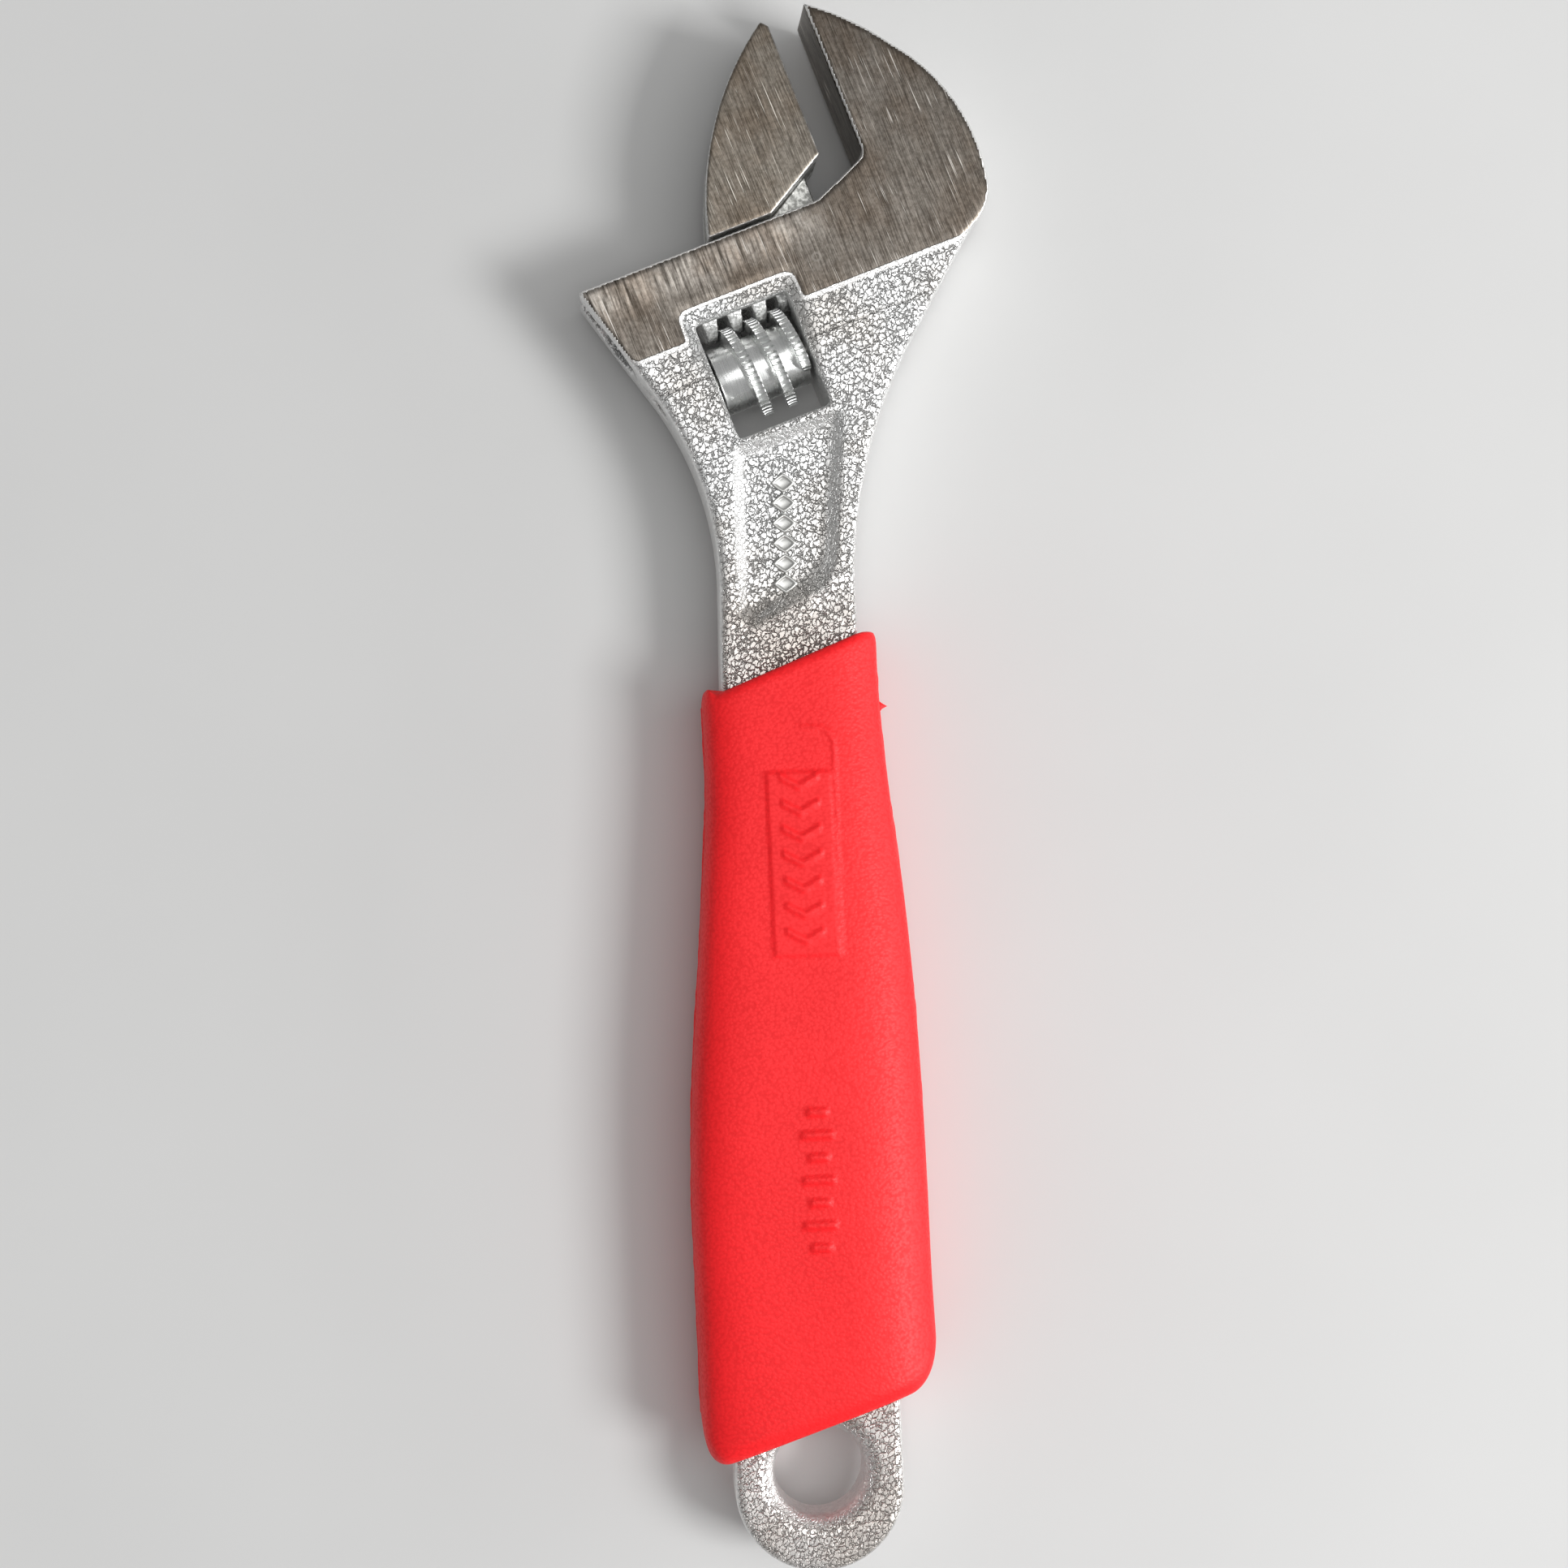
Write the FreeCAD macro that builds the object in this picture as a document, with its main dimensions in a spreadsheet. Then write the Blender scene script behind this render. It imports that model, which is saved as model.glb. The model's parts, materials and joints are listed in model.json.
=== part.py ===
"""Adjustable wrench, 200 mm long, with a 24 mm jaw opening and a slip-on grip sleeve.

Frame: millimetres, the origin on the axis of the hanging hole at the middle of the thickness,
+Y along the handle towards the head, +Z out of the face with the fixed jaw on the +X side.
The head is turned by head_angle about Z. Its own directions are u, across the jaw faces
towards the fixed jaw, and v, along the faces towards their tips.
"""
import FreeCAD, Part
import math
import os
import Sketcher
from FreeCAD import Placement, Rotation, Vector

doc = FreeCAD.newDocument("adjustable_wrench")

# ---------------------------------------------------------------- driving dimensions

DIMENSIONS = {
    # forged body: head, in head directions u and v
    "head_angle": 20.0,
    "head_thickness": 12.5,
    "head_left_u": 27.84,
    "slide_edge_v": 152.9,
    "throat_start_u": 61.0,
    "fixed_face_u": 68.8,
    "fixed_face_low_v": 157.3,
    "throat_radius": 1.5,
    "throat_run": 0.85,
    "throat_rise": 1.55,
    "fixed_tip_v": 177.1,
    "back_high_radius": 34.8,
    "back_high_x": 15.21,
    "back_high_y": 184.66,
    "back_mid_radius": 24.4,
    "back_mid_x": 27.31,
    "back_mid_y": 166.84,
    "back_low_radius": 6.6,
    "back_low_x": 25.2,
    "back_low_y": 160.9,
    "right_flank_x": 17.9,
    "right_flank_y": 148.2,
    "right_flank_radius": 65.0,
    "left_flank_x": -17.4,
    "left_flank_y": 140.8,
    "left_flank_radius": 42.4,
    "ground_edge_v": 142.1,
    "break_line_v": 136.8,
    "break_line_z": 6.0,
    "taper_end_v": 104.0,
    # forged body: handle, in X and Y
    "shank_thickness": 8.0,
    "shank_left_x": -9.2,
    "shank_left_y": 116.0,
    "shank_right_x": 8.5,
    "shank_right_y": 114.5,
    "ring_radius": 11.1,
    "ring_centre_y": -1.96,
    "hang_hole_radius": 5.9,
    "hang_hole_round": 1.3,
    # window for the worm, in u and v
    "window_left_u": 40.25,
    "window_right_u": 52.95,
    "window_low_v": 128.0,
    "window_high_v": 143.55,
    "window_bevel_top": 2.6,
    "window_bevel_side": 1.85,
    "window_bevel_drop": 0.8,
    # sunk panel on the shank
    "panel_depth": 1.2,
    "panel_wall_run": 1.6,
    "panel_end_run": 2.2,
    "panel_left_x": -7.0,
    "panel_right_x": 6.3,
    "panel_flare": 1.3,
    "panel_top_left_y": 133.0,
    "panel_top_right_y": 137.6,
    "panel_low_y": 109.6,
    "panel_low_rise": 5.0,
    "panel_corner": 1.6,
    # rack, its channel in the head, and the movable jaw
    "pitch": 3.43,
    "rack_axis_v": 145.4,
    "rack_radius": 4.0,
    "rack_clearance": 0.15,
    "rack_tip_v": 141.4,
    "rack_root_v": 143.95,
    "rack_tip_width": 1.34,
    "rack_root_width": 2.15,
    "first_tooth_u": 42.14,
    "tooth_count": 8,
    "web_thickness": 4.2,
    "web_left_u": 46.3,
    "web_right_u": 61.2,
    "slot_clearance": 0.2,
    "slot_end_u": 67.0,
    "web_top_drop": 1.3,
    "rack_bore_end_u": 73.4,
    "jaw_thickness": 12.4,
    "jaw_gap": 5.3,
    "jaw_heel_u": 46.15,
    "jaw_base_v": 153.4,
    "jaw_hex_start_u": 54.86,
    "jaw_corner_v": 158.3,
    "jaw_tip_v": 176.8,
    "jaw_tip_drop": 0.9,
    "jaw_tip_width": 0.8,
    "jaw_back_radius": 39.8,
    # adjusting worm, its pin and its spring, on one axis along u
    "worm_axis_v": 136.35,
    "worm_left_u": 40.6,
    "worm_length": 11.8,
    "worm_core_radius": 4.5,
    "worm_crest_radius": 6.35,
    "worm_crest_width": 1.2,
    "worm_root_width": 1.9,
    "worm_thread_start_angle": -120.0,
    "pin_radius": 1.5,
    "pin_left_u": 33.4,
    "pin_right_u": 58.0,
    "pin_head_radius": 2.3,
    "pin_head_length": 3.0,
    "pin_slot_width": 0.8,
    "pin_slot_depth": 0.9,
    "pin_fit": 0.02,
    "pin_end_room": 0.3,
    "worm_running_fit": 0.06,
    "spring_wire_radius": 0.25,
    "spring_mean_radius": 2.0,
    "spring_turns": 4.0,
    "spring_pocket_radius": 2.5,
    "spring_pocket_depth": 3.4,
    # grip sleeve, in X and Y
    "sleeve_fit": 0.03,
    "sleeve_top_y": 105.1,
    "sleeve_top_slope": 0.396,
    "sleeve_end_y": 6.05,
    "sleeve_end_slope": 0.325,
    "sleeve_corner": 5.5,
    "sleeve_low_y": -1.0,
    "sleeve_low_right": 16.0,
    "sleeve_low_left": 14.8,
    "sleeve_low_depth": 7.4,
    "sleeve_belly_y": 38.0,
    "sleeve_belly_right": 15.5,
    "sleeve_belly_left": 15.3,
    "sleeve_belly_depth": 7.75,
    "sleeve_waist_y": 75.0,
    "sleeve_waist_right": 13.7,
    "sleeve_waist_left": 12.7,
    "sleeve_waist_depth": 7.1,
    "sleeve_high_y": 112.0,
    "sleeve_high_right": 11.2,
    "sleeve_high_left": 11.7,
    "sleeve_high_depth": 6.3,
    # how far a cut runs past the material, and how far it starts off a face
    "overcut": 20.0,
    "skim": 0.02,
}

sheet = doc.addObject("Spreadsheet::Sheet", "dim")
for row, (alias, value) in enumerate(DIMENSIONS.items(), start=1):
    sheet.set(f"A{row}", alias)
    sheet.set(f"B{row}", str(value))
    sheet.setAlias(f"B{row}", alias)
doc.recompute()

# ---------------------------------------------------------------- helpers


def size(formula):
    """The value of a formula of the sheet's dimensions."""
    return float(sheet.evalExpression(formula))


def new_body(label, base=("0", "0", "0"), angle="0"):
    """A body placed by formulas: its base point, and its turn about Z in degrees."""
    body = doc.addObject("PartDesign::Body", label)
    body.Label = label
    body.Placement = Placement(Vector(0, 0, 0), Rotation(Vector(0, 0, 1), 1))
    for axis, formula in zip("xyz", base):
        body.setExpression(f"Placement.Base.{axis}", formula)
    body.setExpression("Placement.Rotation.Angle", angle)
    return body


def head_point(u, v):
    """X and Y formulas of a point given in the head's own directions."""
    x = f"({u}) * cos(dim.head_angle) - ({v}) * sin(dim.head_angle)"
    y = f"({u}) * sin(dim.head_angle) + ({v}) * cos(dim.head_angle)"
    return x, y


def origin_plane(body, role):
    """One of the body's three origin planes."""
    return [feature for feature in body.Origin.OriginFeatures if feature.Role == role][0]


def placed_sketch(body, name, plane, offset):
    """A sketch on one of the body's origin planes, moved off it by a placement."""
    sketch = body.newObject("Sketcher::SketchObject", name)
    sketch.AttachmentSupport = (origin_plane(body, plane), "")
    sketch.MapMode = "FlatFace"
    sketch.AttachmentOffset = offset
    return sketch


def new_sketch(body, name, plane="XY_Plane", turn_axis=Vector(0, 0, 1), turn="0", lift="0"):
    """A sketch on one of the body's origin planes, turned about turn_axis and lifted off it."""
    offset = Placement(Vector(0, 0, 0), Rotation(turn_axis, 1))
    sketch = placed_sketch(body, name, plane, offset)
    sketch.setExpression("AttachmentOffset.Rotation.Angle", turn)
    sketch.setExpression("AttachmentOffset.Base.z", lift)
    return sketch


def head_sketch(body, name):
    """A sketch in the plane of the wrench, with u and v as its axes."""
    return new_sketch(body, name, turn="dim.head_angle")


def cross_sketch(body, name, u="0"):
    """A sketch square to u at that distance, with v and Z as its axes."""
    along_normal = f"({u}) * cos(dim.head_angle)"
    sketch = new_sketch(body, name, "YZ_Plane", Vector(0, 1, 0), "dim.head_angle", along_normal)
    sketch.setExpression("AttachmentOffset.Base.x", f"({u}) * sin(dim.head_angle)")
    return sketch


def arc_between(start, end, radius):
    """A counter-clockwise arc from start to end."""
    chord = end - start
    rise = radius - math.sqrt(radius ** 2 - (chord.Length / 2) ** 2)
    sideways = Vector(chord.y, -chord.x, 0).normalize() * rise
    return Part.Arc(start, (start + end) / 2 + sideways, end)


def bind(sketch, constraint, formula):
    """Add a constraint whose value is a formula of the sheet."""
    sketch.setExpression(f"Constraints[{sketch.addConstraint(constraint)}]", formula)


def closed_outline(sketch, corners):
    """A closed outline through corners (x, y) given as formulas. A third entry on a corner is
    the radius of the arc that leaves it: counter-clockwise, or clockwise where it is negative."""
    first = sketch.GeometryCount
    count = len(corners)
    points = [Vector(size(corner[0]), size(corner[1]), 0) for corner in corners]
    starts = []
    for i, corner in enumerate(corners):
        start, end = points[i], points[(i + 1) % count]
        radius = size(corner[2]) if len(corner) == 3 else 0
        if radius == 0:
            sketch.addGeometry(Part.LineSegment(start, end))
        elif radius > 0:
            sketch.addGeometry(arc_between(start, end, radius))
        else:
            sketch.addGeometry(arc_between(end, start, -radius))
        starts.append(2 if radius < 0 else 1)
    for i in range(count):
        following = (i + 1) % count
        ends = first + i, 3 - starts[i], first + following, starts[following]
        sketch.addConstraint(Sketcher.Constraint("Coincident", *ends))
    for i, corner in enumerate(corners):
        here = first + i, starts[i]
        bind(sketch, Sketcher.Constraint("DistanceX", -1, 1, *here, points[i].x), corner[0])
        bind(sketch, Sketcher.Constraint("DistanceY", -1, 1, *here, points[i].y), corner[1])
        if len(corner) == 3:
            radius = abs(size(corner[2]))
            bind(sketch, Sketcher.Constraint("Radius", first + i, radius), f"abs({corner[2]})")


def circle(sketch, x, y, radius):
    """A circle whose centre and radius are formulas."""
    centre = Vector(size(x), size(y), 0)
    index = sketch.addGeometry(Part.Circle(centre, Vector(0, 0, 1), size(radius)))
    bind(sketch, Sketcher.Constraint("DistanceX", -1, 1, index, 3, centre.x), x)
    bind(sketch, Sketcher.Constraint("DistanceY", -1, 1, index, 3, centre.y), y)
    bind(sketch, Sketcher.Constraint("Radius", index, size(radius)), radius)


def rectangle(sketch, left, low, right, high):
    """A rectangle between two corners given as formulas."""
    closed_outline(sketch, [(left, low), (right, low), (right, high), (left, high)])


def pad(sketch, name, length, midplane=True):
    """A pad of the sketch's body, centred on the sketch unless told otherwise."""
    feature = sketch.getParentGeoFeatureGroup().newObject("PartDesign::Pad", name)
    feature.Profile = sketch
    feature.Midplane = midplane
    feature.setExpression("Length", length)
    doc.recompute()
    return feature


def cut(feature, name):
    """Recompute a cutting feature and stop if it took nothing away."""
    before = feature.BaseFeature.Shape.Volume
    doc.recompute()
    if feature.Shape.Volume > before - 0.01:
        raise RuntimeError(f"{name} cuts nothing")
    return feature


def pocket(sketch, name, length, midplane=True, reverse=False):
    """A pocket of a stated length."""
    feature = sketch.getParentGeoFeatureGroup().newObject("PartDesign::Pocket", name)
    feature.Profile = sketch
    feature.Midplane = midplane
    feature.Reversed = reverse
    feature.setExpression("Length", length)
    return cut(feature, name)


def edges_where(feature, test):
    """Names of the feature's edges whose every sampled point passes the test."""
    names = []
    for number, edge in enumerate(feature.Shape.Edges, start=1):
        if all(test(point) for point in edge.discretize(5)):
            names.append(f"Edge{number}")
    return names


# ---------------------------------------------------------------- forged body


def make_wrench_body():
    """Head with the fixed jaw, handle and hanging ring, forged in one piece."""
    body = new_body("wrench_body")
    outline = new_sketch(body, "forging_outline")
    closed_outline(outline, [
        ("-dim.ring_radius", "dim.ring_centre_y", "dim.ring_radius"),
        ("0", "dim.ring_centre_y - dim.ring_radius", "dim.ring_radius"),
        ("dim.ring_radius", "dim.ring_centre_y"),
        ("dim.shank_right_x", "dim.shank_right_y", "-dim.right_flank_radius"),
        ("dim.right_flank_x", "dim.right_flank_y"),
        ("dim.back_low_x", "dim.back_low_y", "dim.back_low_radius"),
        ("dim.back_mid_x", "dim.back_mid_y", "dim.back_mid_radius"),
        ("dim.back_high_x", "dim.back_high_y", "dim.back_high_radius"),
        head_point("dim.fixed_face_u", "dim.fixed_tip_v"),
        (*head_point("dim.fixed_face_u", "dim.fixed_face_low_v"), "-dim.throat_radius"),
        head_point("dim.fixed_face_u - dim.throat_run", "dim.fixed_face_low_v - dim.throat_rise"),
        head_point("dim.throat_start_u", "dim.slide_edge_v"),
        head_point("dim.head_left_u", "dim.slide_edge_v"),
        ("dim.left_flank_x", "dim.left_flank_y", "-dim.left_flank_radius"),
        ("dim.shank_left_x", "dim.shank_left_y"),
    ])
    pad(outline, "forging", "dim.head_thickness")

    # from the ground head the faces fall gently to the shank's thickness
    profile = cross_sketch(body, "side_profile")
    for side in ("", "-"):
        closed_outline(profile, [
            ("dim.ground_edge_v", f"{side}dim.head_thickness / 2"),
            ("dim.break_line_v", f"{side}dim.break_line_z"),
            ("dim.taper_end_v", f"{side}dim.shank_thickness / 2"),
            ("-dim.overcut", f"{side}dim.shank_thickness / 2"),
            ("-dim.overcut", f"{side}dim.head_thickness"),
            ("dim.ground_edge_v", f"{side}dim.head_thickness"),
        ])
    pocket(profile, "face_taper", "8 * dim.overcut")

    hole = new_sketch(body, "hang_hole_circle")
    circle(hole, "0", "0", "dim.hang_hole_radius")
    pocket(hole, "hang_hole", "dim.head_thickness")

    def on_hang_hole(point):
        return math.hypot(point.x, point.y) < size("dim.hang_hole_radius") + 0.01

    base = body.Tip
    rims = [name for name in edges_where(base, on_hang_hole) if is_circle(base, name)]
    rounds = body.newObject("PartDesign::Fillet", "hang_hole_rounds")
    rounds.Base = (base, rims)
    rounds.setExpression("Radius", "dim.hang_hole_round")
    doc.recompute()

    make_window(body)
    make_panel(body)
    make_jaw_channel(body)
    make_pin_hole(body)
    return body


def is_circle(feature, edge_name):
    """Whether a named edge of a feature is a circle."""
    return isinstance(feature.Shape.getElement(edge_name).Curve, Part.Circle)


def ruled_cut(body, name, outer, inner):
    """Take away the space between two outlines on parallel planes, and its mirror image
    on the other face."""
    before = body.Tip.Shape.Volume
    loft = body.newObject("PartDesign::SubtractiveLoft", name)
    loft.Profile = outer
    loft.Sections = [inner]
    loft.Ruled = True
    doc.recompute()
    mirrored = body.newObject("PartDesign::Mirrored", f"{name}_mirrored")
    mirrored.Originals = [loft]
    mirrored.MirrorPlane = (origin_plane(body, "XY_Plane"), [""])
    body.Tip = mirrored
    doc.recompute()
    one_face = before - loft.Shape.Volume
    both_faces = before - mirrored.Shape.Volume
    if one_face < 0.01 or abs(both_faces - 2 * one_face) > 0.01 * one_face:
        raise RuntimeError(f"{name} does not cut both faces alike")


def make_window(body):
    """The opening that holds the worm, and the sloping bevel round it on both faces."""
    opening = head_sketch(body, "window_outline")
    window = "dim.window_left_u", "dim.window_low_v", "dim.window_right_u", "dim.window_high_v"
    rectangle(opening, *window)
    pocket(opening, "window", "2 * dim.head_thickness")

    low = "dim.window_low_v - dim.window_bevel_side"
    outer = new_sketch(body, "bevel_outer", turn="dim.head_angle",
                       lift="dim.head_thickness / 2 + dim.skim")
    rectangle(outer, "dim.window_left_u - dim.window_bevel_side", low,
              "dim.window_right_u + dim.window_bevel_side",
              "dim.window_high_v + dim.window_bevel_top")
    inner = new_sketch(body, "bevel_inner", turn="dim.head_angle",
                       lift="dim.head_thickness / 2 - dim.window_bevel_drop")
    rectangle(inner, *window)
    ruled_cut(body, "window_bevel", outer, inner)


def make_panel(body):
    """A sunk panel between the shank's two rails, on both faces, parallel to the taper."""
    slope = "atan((dim.break_line_z - dim.shank_thickness / 2)"
    slope += " / (dim.break_line_v - dim.taper_end_v))"

    def panel_sketch(name, depth):
        """A sketch in the sloping face, with its origin on the break line."""
        tilt = Rotation(Vector(0, 0, 1), size("dim.head_angle"))
        tilt = tilt * Rotation(Vector(1, 0, 0), size(slope))
        x, y = head_point("0", "dim.break_line_v")
        base = Vector(size(x), size(y), size("dim.break_line_z"))
        below_face = tilt.multVec(Vector(0, 0, depth))
        return placed_sketch(body, name, "XY_Plane", Placement(base - below_face, tilt))

    def on_panel(x, y):
        """Formulas, in the panel sketch, of a point given as X and Y formulas."""
        u = f"({x}) * cos(dim.head_angle) + ({y}) * sin(dim.head_angle)"
        v = f"({y}) * cos(dim.head_angle) - ({x}) * sin(dim.head_angle) - dim.break_line_v"
        return u, v

    def panel_outline(sketch, inset, end_inset):
        """The panel's outline, pulled in by inset at the sides and by end_inset at its ends."""
        left, right = f"dim.panel_left_x + {inset}", f"dim.panel_right_x - {inset}"
        top_left = on_panel(left, f"dim.panel_top_left_y - {inset}")
        top_right = on_panel(f"{right} + dim.panel_flare", f"dim.panel_top_right_y - {inset}")
        closed_outline(sketch, [
            top_left,
            on_panel(left, f"dim.panel_low_y + dim.panel_corner + {inset}"),
            on_panel(f"{left} + dim.panel_corner", f"dim.panel_low_y + {end_inset}"),
            on_panel(f"{right} - dim.panel_corner",
                     f"dim.panel_low_y + dim.panel_low_rise + {end_inset}"),
            on_panel(right, f"dim.panel_low_y + dim.panel_low_rise + 2 * dim.panel_corner + {inset}"),
            top_right,
        ])

    outer = panel_sketch("panel_rim", -size("dim.skim"))
    panel_outline(outer, "0", "0")
    inner = panel_sketch("panel_floor", size("dim.panel_depth"))
    panel_outline(inner, "dim.panel_wall_run", "dim.panel_end_run")
    ruled_cut(body, "panel", outer, inner)


def make_jaw_channel(body):
    """The keyhole channel in which the movable jaw slides: a round bore for its rack, and a
    narrower slot for its web, both open at the head's left end."""
    length = "{} - dim.head_left_u + dim.overcut"
    start = "dim.head_left_u - dim.overcut"
    bore = cross_sketch(body, "rack_bore_circle", start)
    circle(bore, "dim.rack_axis_v", "0", "dim.rack_radius + dim.rack_clearance")
    pocket(bore, "rack_bore", length.format("dim.rack_bore_end_u"), False, True)
    slot = cross_sketch(body, "web_slot_outline", start)
    half_width = "dim.web_thickness / 2 + dim.slot_clearance"
    rectangle(slot, "dim.rack_axis_v", f"-({half_width})",
              "dim.slide_edge_v + dim.overcut / 2", half_width)
    pocket(slot, "web_slot", length.format("dim.slot_end_u"), False, True)


def make_pin_hole(body):
    """The cross hole for the worm's pin, blind on the right, wider for its head on the left."""
    start = "dim.head_left_u - dim.overcut"
    for name, radius, end in (
        ("pin_hole", "dim.pin_radius", "dim.pin_right_u + dim.pin_end_room"),
        ("pin_head_hole", "dim.pin_head_radius",
         "dim.pin_left_u + dim.pin_head_length + dim.pin_fit"),
    ):
        ring = cross_sketch(body, f"{name}_circle", start)
        circle(ring, "dim.worm_axis_v", "0", f"{radius} + dim.pin_fit")
        pocket(ring, name, f"{end} - ({start})", False, True)


# ---------------------------------------------------------------- movable jaw


def make_movable_jaw():
    """Jaw, web and round toothed rack, forged in one piece. Its own X and Y are u and v."""
    body = new_body("movable_jaw", angle="dim.head_angle")
    face = "dim.fixed_face_u - dim.jaw_gap"
    outline = new_sketch(body, "jaw_outline")
    closed_outline(outline, [
        ("dim.jaw_heel_u", "dim.jaw_base_v"),
        ("dim.jaw_hex_start_u", "dim.jaw_base_v"),
        (face, "dim.jaw_corner_v"),
        (face, "dim.jaw_tip_v - dim.jaw_tip_drop"),
        (f"{face} - dim.jaw_tip_width", "dim.jaw_tip_v", "dim.jaw_back_radius"),
    ])
    pad(outline, "jaw", "dim.jaw_thickness")

    web = new_sketch(body, "web_outline")
    closed_outline(web, [
        ("dim.web_left_u", "dim.rack_axis_v"),
        ("dim.web_right_u", "dim.rack_axis_v"),
        ("dim.web_right_u", "dim.jaw_corner_v - dim.web_top_drop"),
        ("dim.jaw_hex_start_u", "dim.jaw_corner_v - dim.web_top_drop"),
        ("dim.web_left_u + dim.web_top_drop", "dim.jaw_base_v + dim.web_top_drop"),
        ("dim.web_left_u", "dim.jaw_base_v"),
    ])
    pad(web, "web", "dim.web_thickness")

    left = "dim.first_tooth_u - dim.rack_root_width / 2"
    right = "dim.first_tooth_u + (dim.tooth_count - 1) * dim.pitch + dim.rack_root_width / 2"
    rack = new_sketch(body, "rack_circle", "YZ_Plane", lift=left)
    circle(rack, "dim.rack_axis_v", "0", "dim.rack_radius")
    pad(rack, "rack", f"{right} - ({left})", False)

    # tooth gaps are straight and lean by the worm's lead angle, so they follow its thread
    gap = new_sketch(body, "tooth_gap_outline")
    middle = "dim.first_tooth_u - dim.pitch / 2"
    root = "(dim.pitch - dim.rack_root_width) / 2"
    mouth = "(dim.pitch - dim.rack_tip_width) / 2"
    closed_outline(gap, [
        (f"{middle} - {root}", "dim.rack_root_v"),
        (f"{middle} - {mouth}", "dim.rack_tip_v"),
        (f"{middle} - {mouth}", "dim.rack_tip_v - 1"),
        (f"{middle} + {mouth}", "dim.rack_tip_v - 1"),
        (f"{middle} + {mouth}", "dim.rack_tip_v"),
        (f"{middle} + {root}", "dim.rack_root_v"),
    ])
    tooth_gap = body.newObject("PartDesign::Pocket", "tooth_gap")
    tooth_gap.Profile = gap
    tooth_gap.Midplane = True
    tooth_gap.UseCustomVector = True
    lead = size("dim.pitch / (2 * pi * dim.worm_crest_radius)")
    tooth_gap.Direction = Vector(lead, 0, 1)
    tooth_gap.setExpression("Length", "2 * dim.rack_radius")
    cut(tooth_gap, "tooth_gap")
    row_of_gaps = body.newObject("PartDesign::LinearPattern", "row_of_gaps")
    row_of_gaps.Originals = [tooth_gap]
    row_of_gaps.Direction = (gap, ["H_Axis"])
    row_of_gaps.Occurrences = int(size("dim.tooth_count")) + 1
    row_of_gaps.setExpression("Length", "dim.tooth_count * dim.pitch")
    body.Tip = row_of_gaps
    return cut_row(body, row_of_gaps, tooth_gap)


def cut_row(body, row, single):
    """Recompute a row of cuts and stop unless it takes more away than its first cut."""
    doc.recompute()
    if row.Shape.Volume > single.Shape.Volume - 0.01:
        raise RuntimeError(f"{row.Name} repeats nothing")
    return body


# ---------------------------------------------------------------- worm, pin and spring


def on_worm_axis(label, left_u):
    """A body whose own X axis is the worm's axis, starting at left_u."""
    x, y = head_point(left_u, "dim.worm_axis_v")
    return new_body(label, (x, y, "0"), "dim.head_angle")


def disc(body, name, radius, start, length):
    """A cylinder along the body's own X axis."""
    sketch = new_sketch(body, f"{name}_circle", "YZ_Plane", lift=start)
    circle(sketch, "0", "0", radius)
    return pad(sketch, name, length, False)


def drill(body, name, radius, start, length):
    """A round hole along the body's own X axis."""
    sketch = new_sketch(body, f"{name}_circle", "YZ_Plane", lift=start)
    circle(sketch, "0", "0", radius)
    return pocket(sketch, name, length, False, True)


def make_adjusting_worm():
    """Worm with one right-hand thread on a plain core, a through bore for the pin, and a
    pocket for the spring in its right end."""
    body = on_worm_axis("adjusting_worm", "dim.worm_left_u")
    disc(body, "core", "dim.worm_core_radius", "0", "dim.worm_length")

    # at the top the thread's middle stands halfway between two rack teeth
    turned = "dim.worm_thread_start_angle"
    middle = f"dim.first_tooth_u + dim.pitch / 2 - dim.worm_left_u + dim.pitch * {turned} / 360"
    flank = new_sketch(body, "thread_profile", turn_axis=Vector(1, 0, 0), turn=turned)
    closed_outline(flank, [
        (f"{middle} - dim.worm_root_width / 2", "dim.worm_core_radius - dim.skim"),
        (f"{middle} + dim.worm_root_width / 2", "dim.worm_core_radius - dim.skim"),
        (f"{middle} + dim.worm_crest_width / 2", "dim.worm_crest_radius"),
        (f"{middle} - dim.worm_crest_width / 2", "dim.worm_crest_radius"),
    ])
    thread = body.newObject("PartDesign::AdditiveHelix", "thread")
    thread.Profile = flank
    thread.ReferenceAxis = (flank, ["H_Axis"])
    thread.Mode = "pitch-height-angle"
    thread.setExpression("Pitch", "dim.pitch")
    thread.setExpression("Height", f"dim.worm_length + dim.worm_root_width - ({middle})")
    doc.recompute()

    trim = new_sketch(body, "right_end_circle", "YZ_Plane", lift="dim.worm_length")
    circle(trim, "0", "0", "2 * dim.worm_crest_radius")
    pocket(trim, "right_end", "2 * dim.pitch", False, True)
    drill(body, "pin_bore", "dim.pin_radius + dim.worm_running_fit", "0", "dim.worm_length")
    depth = "dim.spring_pocket_depth"
    drill(body, "spring_pocket", "dim.spring_pocket_radius", f"dim.worm_length - {depth}", depth)
    return body


def make_worm_pin():
    """Pin that the worm turns on, with a slotted head in the head's left flank."""
    body = on_worm_axis("worm_pin", "dim.pin_left_u")
    disc(body, "pin_head", "dim.pin_head_radius", "0", "dim.pin_head_length")
    disc(body, "pin_shaft", "dim.pin_radius", "0", "dim.pin_right_u - dim.pin_left_u")
    slot = new_sketch(body, "screwdriver_slot_outline", "YZ_Plane")
    reach = "dim.pin_head_radius * 2"
    rectangle(slot, f"-{reach}", "-dim.pin_slot_width / 2", reach, "dim.pin_slot_width / 2")
    pocket(slot, "screwdriver_slot", "dim.pin_slot_depth", False, True)
    return body


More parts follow.
